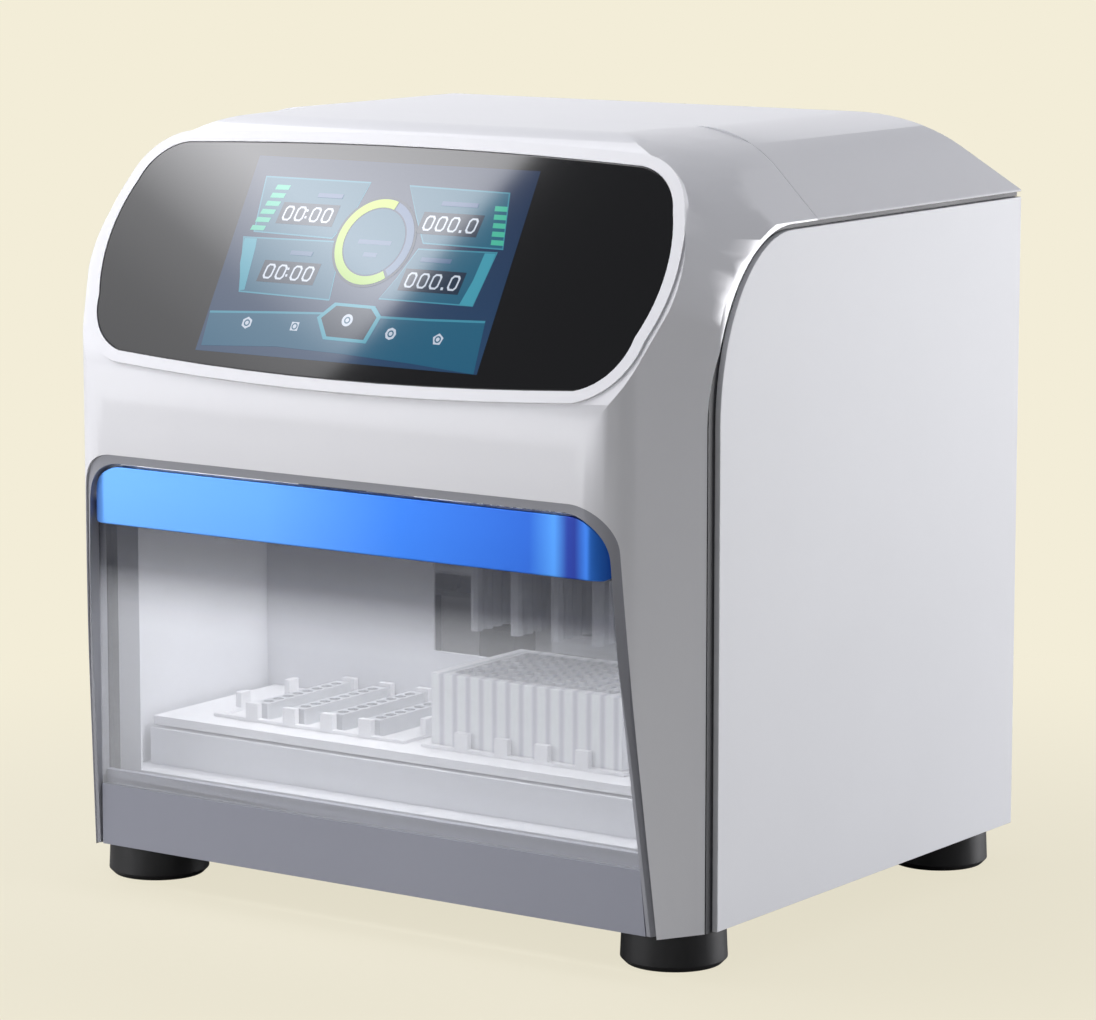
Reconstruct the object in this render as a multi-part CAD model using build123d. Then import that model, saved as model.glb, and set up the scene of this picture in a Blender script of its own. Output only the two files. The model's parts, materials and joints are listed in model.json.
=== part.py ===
from build123d import *
import os
from math import cos, radians, sin, tan

# A benchtop nucleic acid extractor: a moulded cabinet with a tilted touch panel and a drop-down
# clear door, over a chamber with two plate nests, and a magnetic-rod head on an X-Z gantry.
# Millimetres. +X is the operator's right, -Y the front, +Z up. The origin is on the bench,
# under the middle of the cabinet.

# ---- cabinet envelope ----
WIDTH = 420.0
DEPTH = 374.0
HEIGHT = 437.0
FOOT_HEIGHT = 21.2
NOSE_Y = -DEPTH / 2
REAR_Y = DEPTH / 2

# ---- front profile, from the toe up to the roof ----
TOE_SETBACK = 24.0
NOSE_LOW_Z = HEIGHT - 187.0
NOSE_HIGH_Z = HEIGHT - 142.0
TILT = 29.6
NOSE_LOW_R = 300.0
NOSE_HIGH_R = 60.0
BROW_R = 22.0

# ---- roof and front corners ----
SHOULDER = 46.0
ROOF_R = 70.0
FACET_ANGLE = 30.0
FACET_REAR_Y = NOSE_Y + 57.4
FACET_R = 34.5
CORNER_R = 85.0
CORNER_GROWTH = 0.38
CORNER_LAP = 0.5
CORNER_AHEAD = 20.0
CORNER_BEHIND = 300.0
COVER_WALL = 3.0
SEAM_Y = NOSE_Y + 152.5
SEAM_GAP = 0.6

# ---- side panels and the dark groove around them ----
SHEET = 1.5
PANEL_FRONT_Y = NOSE_Y + 58.5
PANEL_TOP_Z = HEIGHT - 50.0
CURVE_Y = NOSE_Y + 128.0
CURVE_Z = HEIGHT - 147.0
PANEL_DEPTH = 8.0
GROOVE_FRONT = 7.0
GROOVE_TOP = 3.0
GROOVE_DEPTH = 3.0
FIT = 0.3
FRAME_SHEET = 3.0
FRAME_WINDOW_CUT = 12.0
FRAME_RAIL = 42.0
STRUT_FRONT_Y = NOSE_Y + 165.0
STRUT_REAR_Y = REAR_Y - 82.0

# ---- base, feet and rear panel ----
BASE_SHEET = 3.0
BASE_FRONT_Y = NOSE_Y + 42.0
FOOT_R = 28.8
FOOT_TAPER = 0.8
FOOT_X = WIDTH / 2 - 32.0
FOOT_FRONT_Y = NOSE_Y + 65.6
FOOT_REAR_Y = REAR_Y - 30.0
FOOT_SCREW_R = 2.5
SCREW_HEAD_R = 5.0
SCREW_HEAD_H = 3.5
SCREW_CLEAR = 0.1
FOOT_RECESS_R = 7.0
FOOT_RECESS_H = 9.0
REAR_PANEL_SHEET = 2.0
REAR_RECESS = 3.0

# ---- door opening and door ----
OPENING_TOP_Z = HEIGHT - 190.0
OPENING_HALF_TOP = WIDTH / 2 - 35.4
OPENING_HALF_BOTTOM = WIDTH / 2 - 22.5
OPENING_R = 26.0
BEZEL_W = 5.0
BEZEL_SET = 1.5
BEZEL_DEPTH = 8.0
DOOR_GAP = 1.2
DOOR_TOE_Y = NOSE_Y + 26.0
DOOR_LEAN = 3.67
DOOR_TOP_Z = OPENING_TOP_Z - 11.0
PANE_SHEET = 4.0
RAIL_TOP_Z = 58.0
RAIL_DEPTH = 8.0
RAIL_TONGUE = 8.0
HANDLE_LOW_Z = OPENING_TOP_Z - 35.0
HANDLE_TOP_Z = OPENING_TOP_Z - 2.0
HANDLE_FRONT_Y = NOSE_Y + 5.0
HANDLE_END_R = 14.0
HANDLE_TOP_R = 24.0
HANDLE_LOW_R = 5.0
HINGE_X = WIDTH / 2 - 60.0
HINGE_Z = 28.0
HINGE_INSET = 5.5
PIN_R = 2.0
KNUCKLE_HALF = 13.5
EAR_SHEET = 4.0
EAR_R = 4.2
NOTCH_SKIN = 1.0
RUNNING = 0.05
MAGNET_X = WIDTH / 2 - 42.0
MAGNET_W = 18.0
MAGNET_H = 10.0
MAGNET_T = 4.5
MAGNET_Z = DOOR_TOP_Z - 11.0

# ---- touch panel ----
PANEL_Z = HEIGHT - 71.0
GLASS_HALF = WIDTH / 2 - 23.5
GLASS_SIDE = 6.5
GLASS_BEND = 15.5
GLASS_CORNER = 33.5
GLASS_TOP = 63.0
GLASS_LOW = 65.0
GLASS_TOP_SIDE = 38.0
GLASS_LOW_SIDE = 33.0
GLASS_WAIST = 10.0
GLASS_TOP_BEND = 54.0
GLASS_CROWN = 67.0
GLASS_SAG = 71.0
RIM_WIDTH = 7.0
RIM_HEIGHT = 1.2
GLASS_PROUD = 1.0
GLASS_SHEET = 4.0
LCD_W = 194.0
LCD_H = 122.0
LCD_X = -5.0
LCD_S = -2.0
LCD_DEPTH = 8.0
BRACKET_SHEET = 2.0
BRACKET_LAP = 6.0

# ---- chamber ----
CHAMBER_HALF = WIDTH / 2 - 22.0
CHAMBER_FRONT_Y = NOSE_Y + 46.0
CHAMBER_FLOOR_Z = 63.0
CHAMBER_TOP_Z = HEIGHT - 102.0
FLANGE_W = 14.0
FLANGE_TOP_Z = OPENING_TOP_Z - 7.0
APRON_Y = NOSE_Y + 57.0
WALL_Y = -7.0
WINDOW_X = -65.0
WINDOW_RIGHT_X = CHAMBER_HALF - 38.0
WINDOW_LOW_Z = 123.5
WALL_LOW_TOP_Z = 180.0
SLOT_LEFT_X = 23.0 - CHAMBER_HALF
DECK_HALF = CHAMBER_HALF - 6.0
DECK_FRONT_Y = NOSE_Y + 67.0
RISER_FRONT_Y = NOSE_Y + 64.0
RISER_TOP_Z = 84.0
DECK_GAP = 1.5
DECK_SHEET = 5.0
DECK_REAR_GAP = 1.0
PAD = 12.0

# ---- plates, nests and heater strips ----
PLATE_X = 127.8
PLATE_Y_SIZE = 85.5
PLATE_H = 42.0
PLATE_Y = -55.25
NEST_RIGHT_X = 64.5
NEST_LEFT_X = -83.5
WELL_PITCH = 9.0
WELL_COLUMNS = 12
WELL_ROWS = 8
WELL_SIZE = 8.2
WELL_FLOOR = 12.0
SKIRT_WALL = 1.8
SKIRT_HEIGHT = 10.5
NEST_CLEAR = 0.5
NEST_RING_W = 4.0
NEST_RING_H = 2.0
POST_H = 11.0
POST_W = 9.0
STRIP_W = 10.0
STRIP_H = 9.5
STRIP_LENGTH = 78.0
PIT_R = 3.6
PIT_DEPTH = 6.0
CHANNEL_COLUMNS = 4
CHANNEL_STEP = 3

# ---- magnetic-rod head ----
HEAD_HALF = 69.0
ARM_SHEET = 4.0
CARRIER_Z = 205.0
CARRIER_SHEET = 6.0
CARRIER_REACH = 46.0
CARRIER_WINDOW_X = 118.0
CARRIER_WINDOW_Y = 78.0
ARM_TOP_Z = 262.0
ARM_NECK_Z = 232.0
ARM_NECK_Y = -12.0
ARM_REAR_Y = 2.0
BEAM_SHEET = 6.0
COMB_SHEET = 2.5
COMB_W = 122.0
COMB_D = 82.0
TIP_LENGTH = 54.0
TIP_R = 3.5
TIP_BORE_R = 2.8
TIP_FLOOR = 2.0
ROD_R = 2.3
ROD_CLEAR = 1.0
MAGNET_PLATE_Z = 240.0
MAGNET_PLATE_SHEET = 6.0
MAGNET_PLATE_W = 100.0
MAGNET_PLATE_D = 76.0
MAGNET_SHAFT_R = 3.0
MAGNET_SHAFT_X = 64.0
MAGNET_SHAFT_TOP_Z = 318.0
BUSH_WALL = 3.0
BRIDGE_SHEET = 6.0
BRIDGE_D = 44.0
SCREW_TAIL = 18.0
MAGNET_SCREW_R = 3.0
SMALL_MOTOR = 35.0
SMALL_MOTOR_H = 30.0

# ---- X-Z gantry ----
SLIDE_Y = 21.0
SHAFT_R = 5.0
SHAFT_X = 40.5
LIFT_SCREW_R = 4.0
BLOCK_FRONT_Y = 8.0
BLOCK_REAR_Y = 34.0
BLOCK_HALF = 52.0
BACK_Y = 38.0
BACK_SHEET = 6.0
BACK_HALF = 56.0
CARRIAGE_LOW_Z = 128.0
CARRIAGE_TOP_Z = HEIGHT - 65.0
CARRIAGE_END = 10.0
THRUST_DEPTH = 5.0
MOTOR = 42.0
MOTOR_H = 38.0
MOTOR_CHAMFER = 4.0
RAIL_LOW_Z = 152.0
RAIL_HIGH_Z = CARRIAGE_TOP_Z - 24.0
RAIL_H = 10.0
RAIL_Y = 52.0
RAIL_T = 8.0
RAIL_HALF = WIDTH / 2 - 45.0
RAIL_CLEAR = 0.2
BEARING_L = 28.0
BEARING_H = 20.0
BEARING_X = 38.0
BEAM_H = 20.0
BEAM_D = 20.0
TRAVERSE_Y = 54.0
TRAVERSE_Z = 250.0
TRAVERSE_R = 5.0
TRAVERSE_BEAM_Y = 76.0
BEARING_STAND_X = WIDTH / 2 - 60.0
BEARING_STAND_T = 10.0
BEARING_STAND_H = 24.0
NUT_HALF = 12.0
NUT_H = 24.0
X_MOTOR_END = 0.6

# ---- electronics and rear fittings ----
BOARD_X = 70.0
BOARD_Y = REAR_Y - 82.0
BOARD_W = 160.0
BOARD_D = 110.0
BOARD_SHEET = 1.6
BOARD_Z = 32.0
STANDOFF_R = 3.0
SUPPLY_X = -125.0
SUPPLY_Y = REAR_Y - 92.0
SUPPLY_W = 100.0
SUPPLY_D = 110.0
SUPPLY_H = 42.0
FAN_X = 95.0
FAN_Z = HEIGHT - 137.0
FAN = 80.0
FAN_DEPTH = 25.0
FAN_BORE_R = 37.5
FAN_HUB_R = 17.0
FAN_HUB_SHEET = 3.0
FAN_AXLE_R = 2.0
ROTOR_R = 36.0
ROTOR_HUB_R = 16.0
ROTOR_DEPTH = 17.0
BLADES = 7
BLADE_PITCH = 35.0
BLADE_SHEET = 1.6
GUARD_SHEET = 1.6
GUARD_WIRE = 2.0
GUARD_RINGS = 4
GUARD_STEP = 8.5
GUARD_SIDES = 24
INLET_X = -140.0
SWITCH_X = -90.0
USB_X = -45.0
SOCKET_Z = 92.0
INLET_W = 27.0
INLET_H = 20.0
INLET_DEPTH = 24.0
INLET_MOUTH_W = 24.0
INLET_MOUTH_H = 16.0
INLET_MOUTH_DEPTH = 17.0
FLANGE_LAP = 4.0
FITTING_SHEET = 2.0
SWITCH_W = 19.0
SWITCH_H = 27.0
SWITCH_WALL = 1.6
SWITCH_DEPTH = 16.0
ROCKER_T = 7.0
ROCKER_TILT = 8.0
USB_W = 14.5
USB_H = 7.5
USB_WALL = 0.8
USB_DEPTH = 15.0
VENT_W = 40.0
VENT_H = 3.0
VENT_STEP = 8.0
VENTS = 8
VENT_X = -95.0
VENT_Z = HEIGHT - 175.0

# ---- ultraviolet lamp ----
LAMP_X = 14.0 - CHAMBER_HALF
LAMP_Z = CHAMBER_TOP_Z - 23.0
LAMP_R = 7.5
LAMP_FRONT_Y = NOSE_Y + 62.0
LAMP_REAR_Y = -25.0
SOCKET_SIZE = 22.0
SOCKET_T = 10.0
SOCKET_SEAT = 4.0

# ---- worked out from the values above ----
SMALL_SIDES = 8
SKY = HEIGHT + 40.0
UNDER = -40.0
BODY_Z = FOOT_HEIGHT
BASE_TOP_Z = BODY_Z + BASE_SHEET
PANEL_IN = WIDTH / 2 - PANEL_DEPTH
FRAME_IN = PANEL_IN - FRAME_SHEET
REAR_FACE_Y = REAR_Y - REAR_RECESS
REAR_INNER_Y = REAR_FACE_Y - REAR_PANEL_SHEET
FRAME_REAR_Y = REAR_INNER_Y
DECK_LOW_Z = RISER_TOP_Z + DECK_GAP
DECK_Z = DECK_LOW_Z + DECK_SHEET
DECK_REAR_Y = WALL_Y - DECK_REAR_GAP
PANEL_Y = NOSE_Y + (PANEL_Z - NOSE_HIGH_Z) * tan(radians(TILT))
HEAD_X = NEST_RIGHT_X
COMB_Z = CARRIER_Z + CARRIER_SHEET
TIP_LOW_Z = COMB_Z - TIP_LENGTH
HINGE_Y = DOOR_TOE_Y + HINGE_INSET - (HINGE_Z - BODY_Z) * tan(radians(DOOR_LEAN))
DISPLAY = Plane(
    origin=(0, PANEL_Y, PANEL_Z),
    x_dir=(1, 0, 0),
    z_dir=(0, -cos(radians(TILT)), sin(radians(TILT))),
)


def span(x, y, z):
    """A box between two limits on each axis."""
    size = [high - low for low, high in (x, y, z)]
    centre = [(high + low) / 2 for low, high in (x, y, z)]
    return Pos(*centre) * Box(*size)


def outline(points, radii, inset=0):
    """A closed outline with a radius at each corner, its sides moved in by an inset.

    The corners run clockwise, so a side's inward direction is on its right.
    """
    corners = []
    for number, corner in enumerate(points):
        here = Vector(*corner)
        after = Vector(*points[(number + 1) % len(points)])
        inward = [
            (end - start).normalized().rotate(Axis.Z, -90)
            for start, end in ((Vector(*points[number - 1]), here), (here, after))
        ]
        mitre = (inward[0] + inward[1]) * (inset / (1 + inward[0].dot(inward[1])))
        corners.append(here + mitre)
    rounds = [max(radius - inset, 0) for radius in radii]
    return make_face(FilletPolyline(*corners, radius=rounds, close=True))


def prism(radius, height):
    """An upright bar with small flats, standing on the origin."""
    return extrude(RegularPolygon(radius, SMALL_SIDES), height)


def pair(shape):
    """A solid and its mirror image across the middle of the cabinet."""
    return Compound([shape, mirror(shape, Plane.YZ)])


# ---------------------------------------------------------------- moulded covers
def plan_face(inset):
    """Plan of the cabinet: square at the back, with a facet down each front corner."""
    facet_x = WIDTH / 2 - (FACET_REAR_Y - NOSE_Y) * tan(radians(FACET_ANGLE))
    right = [(WIDTH / 2, REAR_Y), (WIDTH / 2, FACET_REAR_Y), (facet_x, NOSE_Y)]
    left = [(-x, y) for x, y in reversed(right)]
    return outline([*right, *left], [0, 0, FACET_R, FACET_R, 0, 0], inset)


def profile_face(inset, low_z):
    """Side profile: a front that swells to the nose, the tilted panel, the roof and its rear slope."""
    slope = TOE_SETBACK / (NOSE_LOW_Z - BODY_Z)
    brow_y = NOSE_Y + (HEIGHT - NOSE_HIGH_Z) * tan(radians(TILT))
    points = [
        (NOSE_Y + slope * (NOSE_LOW_Z - low_z), low_z),
        (NOSE_Y, NOSE_LOW_Z),
        (NOSE_Y, NOSE_HIGH_Z),
        (brow_y, HEIGHT),
        (REAR_Y - SHOULDER, HEIGHT),
        (REAR_Y, HEIGHT - SHOULDER),
        (REAR_Y, low_z),
    ]
    return outline(points, [0, NOSE_LOW_R, NOSE_HIGH_R, BROW_R, ROOF_R, 0, 0], inset)


def roof_face(inset, low_z):
    """Cross-section: a flat roof that rounds into 45 degree shoulders and straight sides."""
    half = WIDTH / 2
    left = [(-half, low_z), (-half, HEIGHT - SHOULDER), (SHOULDER - half, HEIGHT)]
    right = [(-x, z) for x, z in reversed(left)]
    return outline([*left, *right], [0, 0, ROOF_R, ROOF_R, 0, 0], inset)


def corner_face(inset, depth):
    """The cabinet cut parallel to the touch panel at a depth, with round upper corners.

    Its sides follow the facets and its top the roof, each with a small lap outside them.
    """
    tilt = radians(TILT)
    spread = tan(radians(FACET_ANGLE))
    run = PANEL_Y - FACET_REAR_Y + depth * cos(tilt)
    rise = spread * sin(tilt)
    side = WIDTH / 2 + run * spread + CORNER_LAP
    top = (HEIGHT - PANEL_Z) / cos(tilt) + depth * tan(tilt) + CORNER_LAP
    right = [(side + rise * top, top), (side - rise * DEPTH, -DEPTH)]
    left = [(-x, y) for x, y in reversed(right)]
    radius = CORNER_R + CORNER_GROWTH * depth
    return outline([*right, *left], [radius, 0, 0, radius], inset / cos(tilt))


def corner_form(inset):
    """A tapered body along the touch panel's normal that rounds the cabinet's brow corners."""
    ends = [
        DISPLAY * (Pos(0, 0, -depth) * corner_face(inset, depth))
        for depth in (-CORNER_AHEAD, CORNER_BEHIND)
    ]
    return loft(ends, ruled=True)


def cabinet_form(inset, low_z):
    """The form that the plan, the profile, the cross-section and the brow corners share."""
    plan = extrude(plan_face(inset), SKY, both=True)
    profile = extrude(Plane.YZ * profile_face(inset, low_z), WIDTH, both=True)
    section = extrude(Plane.XZ * roof_face(inset, low_z), DEPTH, both=True)
    return plan & profile & section


def brow_form(inset, low_z):
    """The cabinet's form with its brow corners rounded, in front of the roof seam."""
    return cabinet_form(inset, low_z) & corner_form(inset)


def cover_shell(form):
    return form(0, BODY_Z) - form(COVER_WALL, UNDER)


def flank_face(front_gap, top_gap, low_z, rear_y):
    """Outline of a side panel: upright front edge, elliptical corner and level top."""
    front = PANEL_FRONT_Y - front_gap
    top = PANEL_TOP_Z + top_gap
    corner = EllipticalCenterArc((CURVE_Y, CURVE_Z), CURVE_Y - front, top - CURVE_Z, 90, arc_size=90)
    edges = [
        corner,
        Line((front, CURVE_Z), (front, low_z)),
        Line((front, low_z), (rear_y, low_z)),
        Line((rear_y, low_z), (rear_y, top)),
        Line((rear_y, top), (CURVE_Y, top)),
    ]
    return make_face(Curve() + edges)


def flank_slab(face, low_x, high_x, side):
    """A flank outline made solid between two distances from the middle, on one side."""
    slab = Pos(low_x, 0, 0) * extrude(Plane.YZ * face, high_x - low_x, dir=(1, 0, 0))
    return slab if side > 0 else mirror(slab, Plane.YZ)


def arch_half(z):
    """Half the width of the door opening at a height."""
    share = (OPENING_TOP_Z - z) / (OPENING_TOP_Z - BODY_Z)
    return OPENING_HALF_TOP + (OPENING_HALF_BOTTOM - OPENING_HALF_TOP) * share


def arch_face(inset, low_z, top_z, top_r, low_r):
    """A piece of the door's outline between two heights, inside the opening by a gap."""
    right = [(arch_half(low_z) - inset, low_z), (arch_half(top_z) - inset, top_z)]
    left = [(-x, z) for x, z in reversed(right)]
    return outline([*right, *left], [low_r, top_r, top_r, low_r])


def bezel_face():
    """Outline of the hole that the door's liner fills in the front cover."""
    return arch_face(-BEZEL_W, UNDER, OPENING_TOP_Z + BEZEL_W, OPENING_R, 0)


def panel_outline(grow):
    """Touch panel outline: crowned top, full ends and a sagging lower edge."""
    side, bend, corner = GLASS_HALF - GLASS_SIDE, GLASS_HALF - GLASS_BEND, GLASS_HALF - GLASS_CORNER
    right = [
        (corner, GLASS_TOP),
        (bend, GLASS_TOP_BEND),
        (side, GLASS_TOP_SIDE),
        (GLASS_HALF, GLASS_WAIST),
        (side, -GLASS_LOW_SIDE),
        (bend, -GLASS_TOP_BEND),
        (corner, -GLASS_LOW),
    ]
    left = [(-x, z) for x, z in reversed(right)]
    knots = [*right, (0, -GLASS_SAG), *left, (0, GLASS_CROWN)]
    arcs = [
        ThreePointArc(knots[i], knots[i + 1], knots[(i + 2) % len(knots)])
        for i in range(0, len(knots), 2)
    ]
    face = make_face(Curve() + arcs)
    return offset(face, grow) if grow else face


def on_display(face, low, high):
    """A shape drawn on the tilted panel, solid between two heights above the cover's surface."""
    return DISPLAY * (Pos(0, 0, low) * extrude(face, high - low, dir=(0, 0, 1)))


def front_cover():
    """Front moulding: brow, panel rim, belly and the two pillars beside the door."""
    shell = cover_shell(brow_form) & span((-WIDTH, WIDTH), (NOSE_Y * 2, SEAM_Y - SEAM_GAP / 2), (UNDER, SKY))
    shell += on_display(panel_outline(RIM_WIDTH), -COVER_WALL, RIM_HEIGHT)
    shell -= on_display(panel_outline(FIT), -COVER_WALL * 4, COVER_WALL * 4)
    flank = flank_face(GROOVE_FRONT, GROOVE_TOP, UNDER, REAR_Y)
    for side in (-1, 1):
        shell -= flank_slab(flank, CHAMBER_HALF + 2, WIDTH, side)
    arch = bezel_face()
    shell -= extrude(Plane.XZ * arch, DEPTH) & span((-WIDTH, WIDTH), (NOSE_Y * 2, APRON_Y), (UNDER, SKY))
    return shell


def door_bezel():
    """Grey liner set just inside the edge of the door opening."""
    ring = bezel_face() - arch_face(0, UNDER * 2, OPENING_TOP_Z, OPENING_R, 0)
    return extrude(Plane.XZ * ring, DEPTH) & cabinet_form(BEZEL_SET, BODY_Z) & door_slab(-DEPTH, BEZEL_DEPTH)


def top_cover():
    """Roof moulding behind the seam, with sloping shoulders and rear."""
    low = PANEL_TOP_Z + GROOVE_TOP
    return cover_shell(cabinet_form) & span((-WIDTH, WIDTH), (SEAM_Y + SEAM_GAP / 2, REAR_Y * 2), (low, SKY))


# ---------------------------------------------------------------- frame and side panels
def side_panel(side):
    """Folded steel side panel: a skin with a rim turned in all round."""
    tray = flank_slab(flank_face(0, 0, BODY_Z, REAR_Y), PANEL_IN, WIDTH / 2, side)
    pocket = flank_face(-SHEET, -SHEET, BODY_Z + SHEET, REAR_Y - SHEET)
    return tray - flank_slab(pocket, PANEL_IN, WIDTH / 2 - SHEET, side)


def edge_trims():
    """Black extrusions that line the grooves between the side panels and the covers."""
    outer = flank_face(GROOVE_FRONT - FIT, GROOVE_TOP - FIT, BODY_Z, REAR_Y)
    inner = flank_face(FIT, FIT, UNDER, REAR_Y * 2)
    high = WIDTH / 2 - GROOVE_DEPTH
    return pair(flank_slab(outer, PANEL_IN, high, 1) - flank_slab(inner, PANEL_IN, WIDTH, 1))


def side_frames():
    """Welded side frames that carry the covers, the side panels and the gantry."""
    face = flank_face(GROOVE_FRONT - FIT, GROOVE_TOP - FIT, BASE_TOP_Z, FRAME_REAR_Y)
    low, high = BASE_TOP_Z + FRAME_RAIL, PANEL_TOP_Z - FRAME_RAIL
    front = PANEL_FRONT_Y + FRAME_RAIL / 2
    rear = FRAME_REAR_Y - FRAME_RAIL / 2
    for start, end in ((front, STRUT_FRONT_Y), (STRUT_REAR_Y, rear)):
        hole = chamfer(Rectangle(end - start, high - low).vertices(), FRAME_WINDOW_CUT)
        face -= Pos((start + end) / 2, (low + high) / 2) * hole
    return pair(flank_slab(face, FRAME_IN, PANEL_IN, 1))


def foot_places():
    return [(sx * FOOT_X, y) for sx in (-1, 1) for y in (FOOT_FRONT_Y, FOOT_REAR_Y)]


def base_plate():
    """Steel base tray floor, with screw holes for the feet."""
    plate = span((-PANEL_IN, PANEL_IN), (BASE_FRONT_Y, REAR_INNER_Y), (BODY_Z, BASE_TOP_Z))
    for x, y in foot_places():
        plate -= Pos(x, y, BODY_Z - BASE_SHEET) * prism(FOOT_SCREW_R + SCREW_CLEAR, BASE_SHEET * 3)
    return plate & cabinet_form(COVER_WALL + FIT, UNDER)


def feet():
    """Four turned rubber feet, each with a recess for its screw."""
    rim = 3.0
    half = [
        (0, 0),
        (FOOT_R - rim, 0),
        (FOOT_R, rim),
        (FOOT_R - FOOT_TAPER, FOOT_HEIGHT),
        (0, FOOT_HEIGHT),
    ]
    foot = revolve(Plane.XZ * make_face(Polyline(*half, close=True)), Axis.Z)
    foot -= prism(FOOT_RECESS_R, FOOT_RECESS_H)
    foot -= prism(FOOT_SCREW_R + SCREW_CLEAR, FOOT_HEIGHT * 2)
    return Compound([Pos(x, y, 0) * foot for x, y in foot_places()])


def foot_screws():
    """Pan-head screws up through the feet into the base."""
    length = BASE_TOP_Z + BASE_SHEET - FOOT_RECESS_H
    screw = Pos(0, 0, FOOT_RECESS_H - SCREW_HEAD_H) * prism(SCREW_HEAD_R, SCREW_HEAD_H)
    screw += Pos(0, 0, FOOT_RECESS_H) * prism(FOOT_SCREW_R, length)
    return Compound([Pos(x, y, 0) * screw for x, y in foot_places()])


def rear_panel():
    """Steel rear panel with the fan hole, air slots and cut-outs for the fittings."""
    top = PANEL_TOP_Z + GROOVE_TOP - FIT
    inside = (-PANEL_IN + FIT, PANEL_IN - FIT)
    panel = span(inside, (REAR_INNER_Y, REAR_FACE_Y), (BODY_Z, top))
    through = REAR_PANEL_SHEET * 4
    panel -= Pos(FAN_X, REAR_INNER_Y, FAN_Z) * (Rot(90, 0, 0) * Cylinder(FAN_BORE_R, through))
    for x, wide, high in (
        (INLET_X, INLET_W, INLET_H),
        (SWITCH_X, SWITCH_W, SWITCH_H),
        (USB_X, USB_W, USB_H),
    ):
        panel -= Pos(x, REAR_INNER_Y, SOCKET_Z) * Box(wide + FIT, through, high + FIT)
    for row in range(VENTS):
        for column in (-1, 1):
            x = VENT_X + column * (VENT_W / 2 + VENT_STEP / 2)
            slot = Pos(x, REAR_INNER_Y, VENT_Z + row * VENT_STEP) * Box(VENT_W, through, VENT_H)
            panel -= slot
    return panel


# ---------------------------------------------------------------- touch panel
def display_glass():
    return on_display(panel_outline(0), GLASS_PROUD - GLASS_SHEET, GLASS_PROUD)


def display_bracket():
    """Carrier plate bonded behind the glass and the cover, open for the screen."""
    plate = panel_outline(BRACKET_LAP)
    plate -= Pos(LCD_X, LCD_S) * Rectangle(LCD_W + 2 * FIT, LCD_H + 2 * FIT)
    low = GLASS_PROUD - GLASS_SHEET
    return on_display(plate, low - BRACKET_SHEET, low) & brow_form(COVER_WALL + FIT, UNDER)


def lcd_module():
    low = GLASS_PROUD - GLASS_SHEET
    return on_display(Pos(LCD_X, LCD_S) * Rectangle(LCD_W, LCD_H), low - LCD_DEPTH, low)


# ---------------------------------------------------------------- door
def door_slab(front, back):
    """Everything between two depths behind the door's leaning front plane."""
    lean = radians(DOOR_LEAN)
    plane = Plane(
        origin=(0, DOOR_TOE_Y, BODY_Z), x_dir=(1, 0, 0), z_dir=(0, cos(lean), sin(lean))
    )
    return plane * (Pos(0, 0, (front + back) / 2) * Box(WIDTH * 2, HEIGHT * 2, back - front))


def door_piece(face, front, back):
    """Part of the door's outline, solid between two depths behind its front plane."""
    return extrude(Plane.XZ * face, DEPTH, both=True) & door_slab(front, back)


def across(radius, half, x):
    """A round bar along X on the door's hinge line."""
    return Pos(x, HINGE_Y, HINGE_Z) * (Rot(0, 90, 0) * Cylinder(radius, half * 2))


def door_rail():
    """Grey lower rail: it carries the pane on a rear tongue and turns on the two hinge pins."""
    low = BODY_Z + DOOR_GAP
    tongue_z = RAIL_TOP_Z + RAIL_TONGUE
    rail = door_piece(arch_face(DOOR_GAP, low, RAIL_TOP_Z, 0, 0), 0, RAIL_DEPTH)
    rail += door_piece(arch_face(DOOR_GAP, low, tongue_z, 0, 0), PANE_SHEET, RAIL_DEPTH)
    ear = EAR_SHEET / 2 + DOOR_GAP / 2
    for side in (-1, 1):
        for end in (-1, 1):
            x = side * HINGE_X + end * (KNUCKLE_HALF + ear)
            notch = span((x - ear, x + ear), (NOSE_Y, 0), (UNDER, HINGE_Z + EAR_R + DOOR_GAP))
            rail -= notch & door_slab(NOTCH_SKIN, RAIL_DEPTH * 3)
        rail -= across(PIN_R, KNUCKLE_HALF * 2, side * HINGE_X)
    return rail


def door_window():
    """Clear pane above the rail."""
    return door_piece(arch_face(DOOR_GAP, RAIL_TOP_Z, DOOR_TOP_Z, OPENING_R, 0), 0, PANE_SHEET)


def door_handle():
    """Blue pull bar across the top of the pane, with ends that turn back."""
    face = arch_face(DOOR_GAP, HANDLE_LOW_Z, HANDLE_TOP_Z, HANDLE_TOP_R, HANDLE_LOW_R)
    half = arch_half(HANDLE_LOW_Z)
    plan = outline(
        [(half, 0), (half, HANDLE_FRONT_Y), (-half, HANDLE_FRONT_Y), (-half, 0)],
        [0, HANDLE_END_R, HANDLE_END_R, 0],
    )
    bar = extrude(Plane.XZ * face, DEPTH, both=True) & extrude(plan, HEIGHT)
    return bar - door_slab(0, DEPTH)


def door_hinge_pins():
    return pair(across(PIN_R, KNUCKLE_HALF + EAR_SHEET, HINGE_X))


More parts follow.
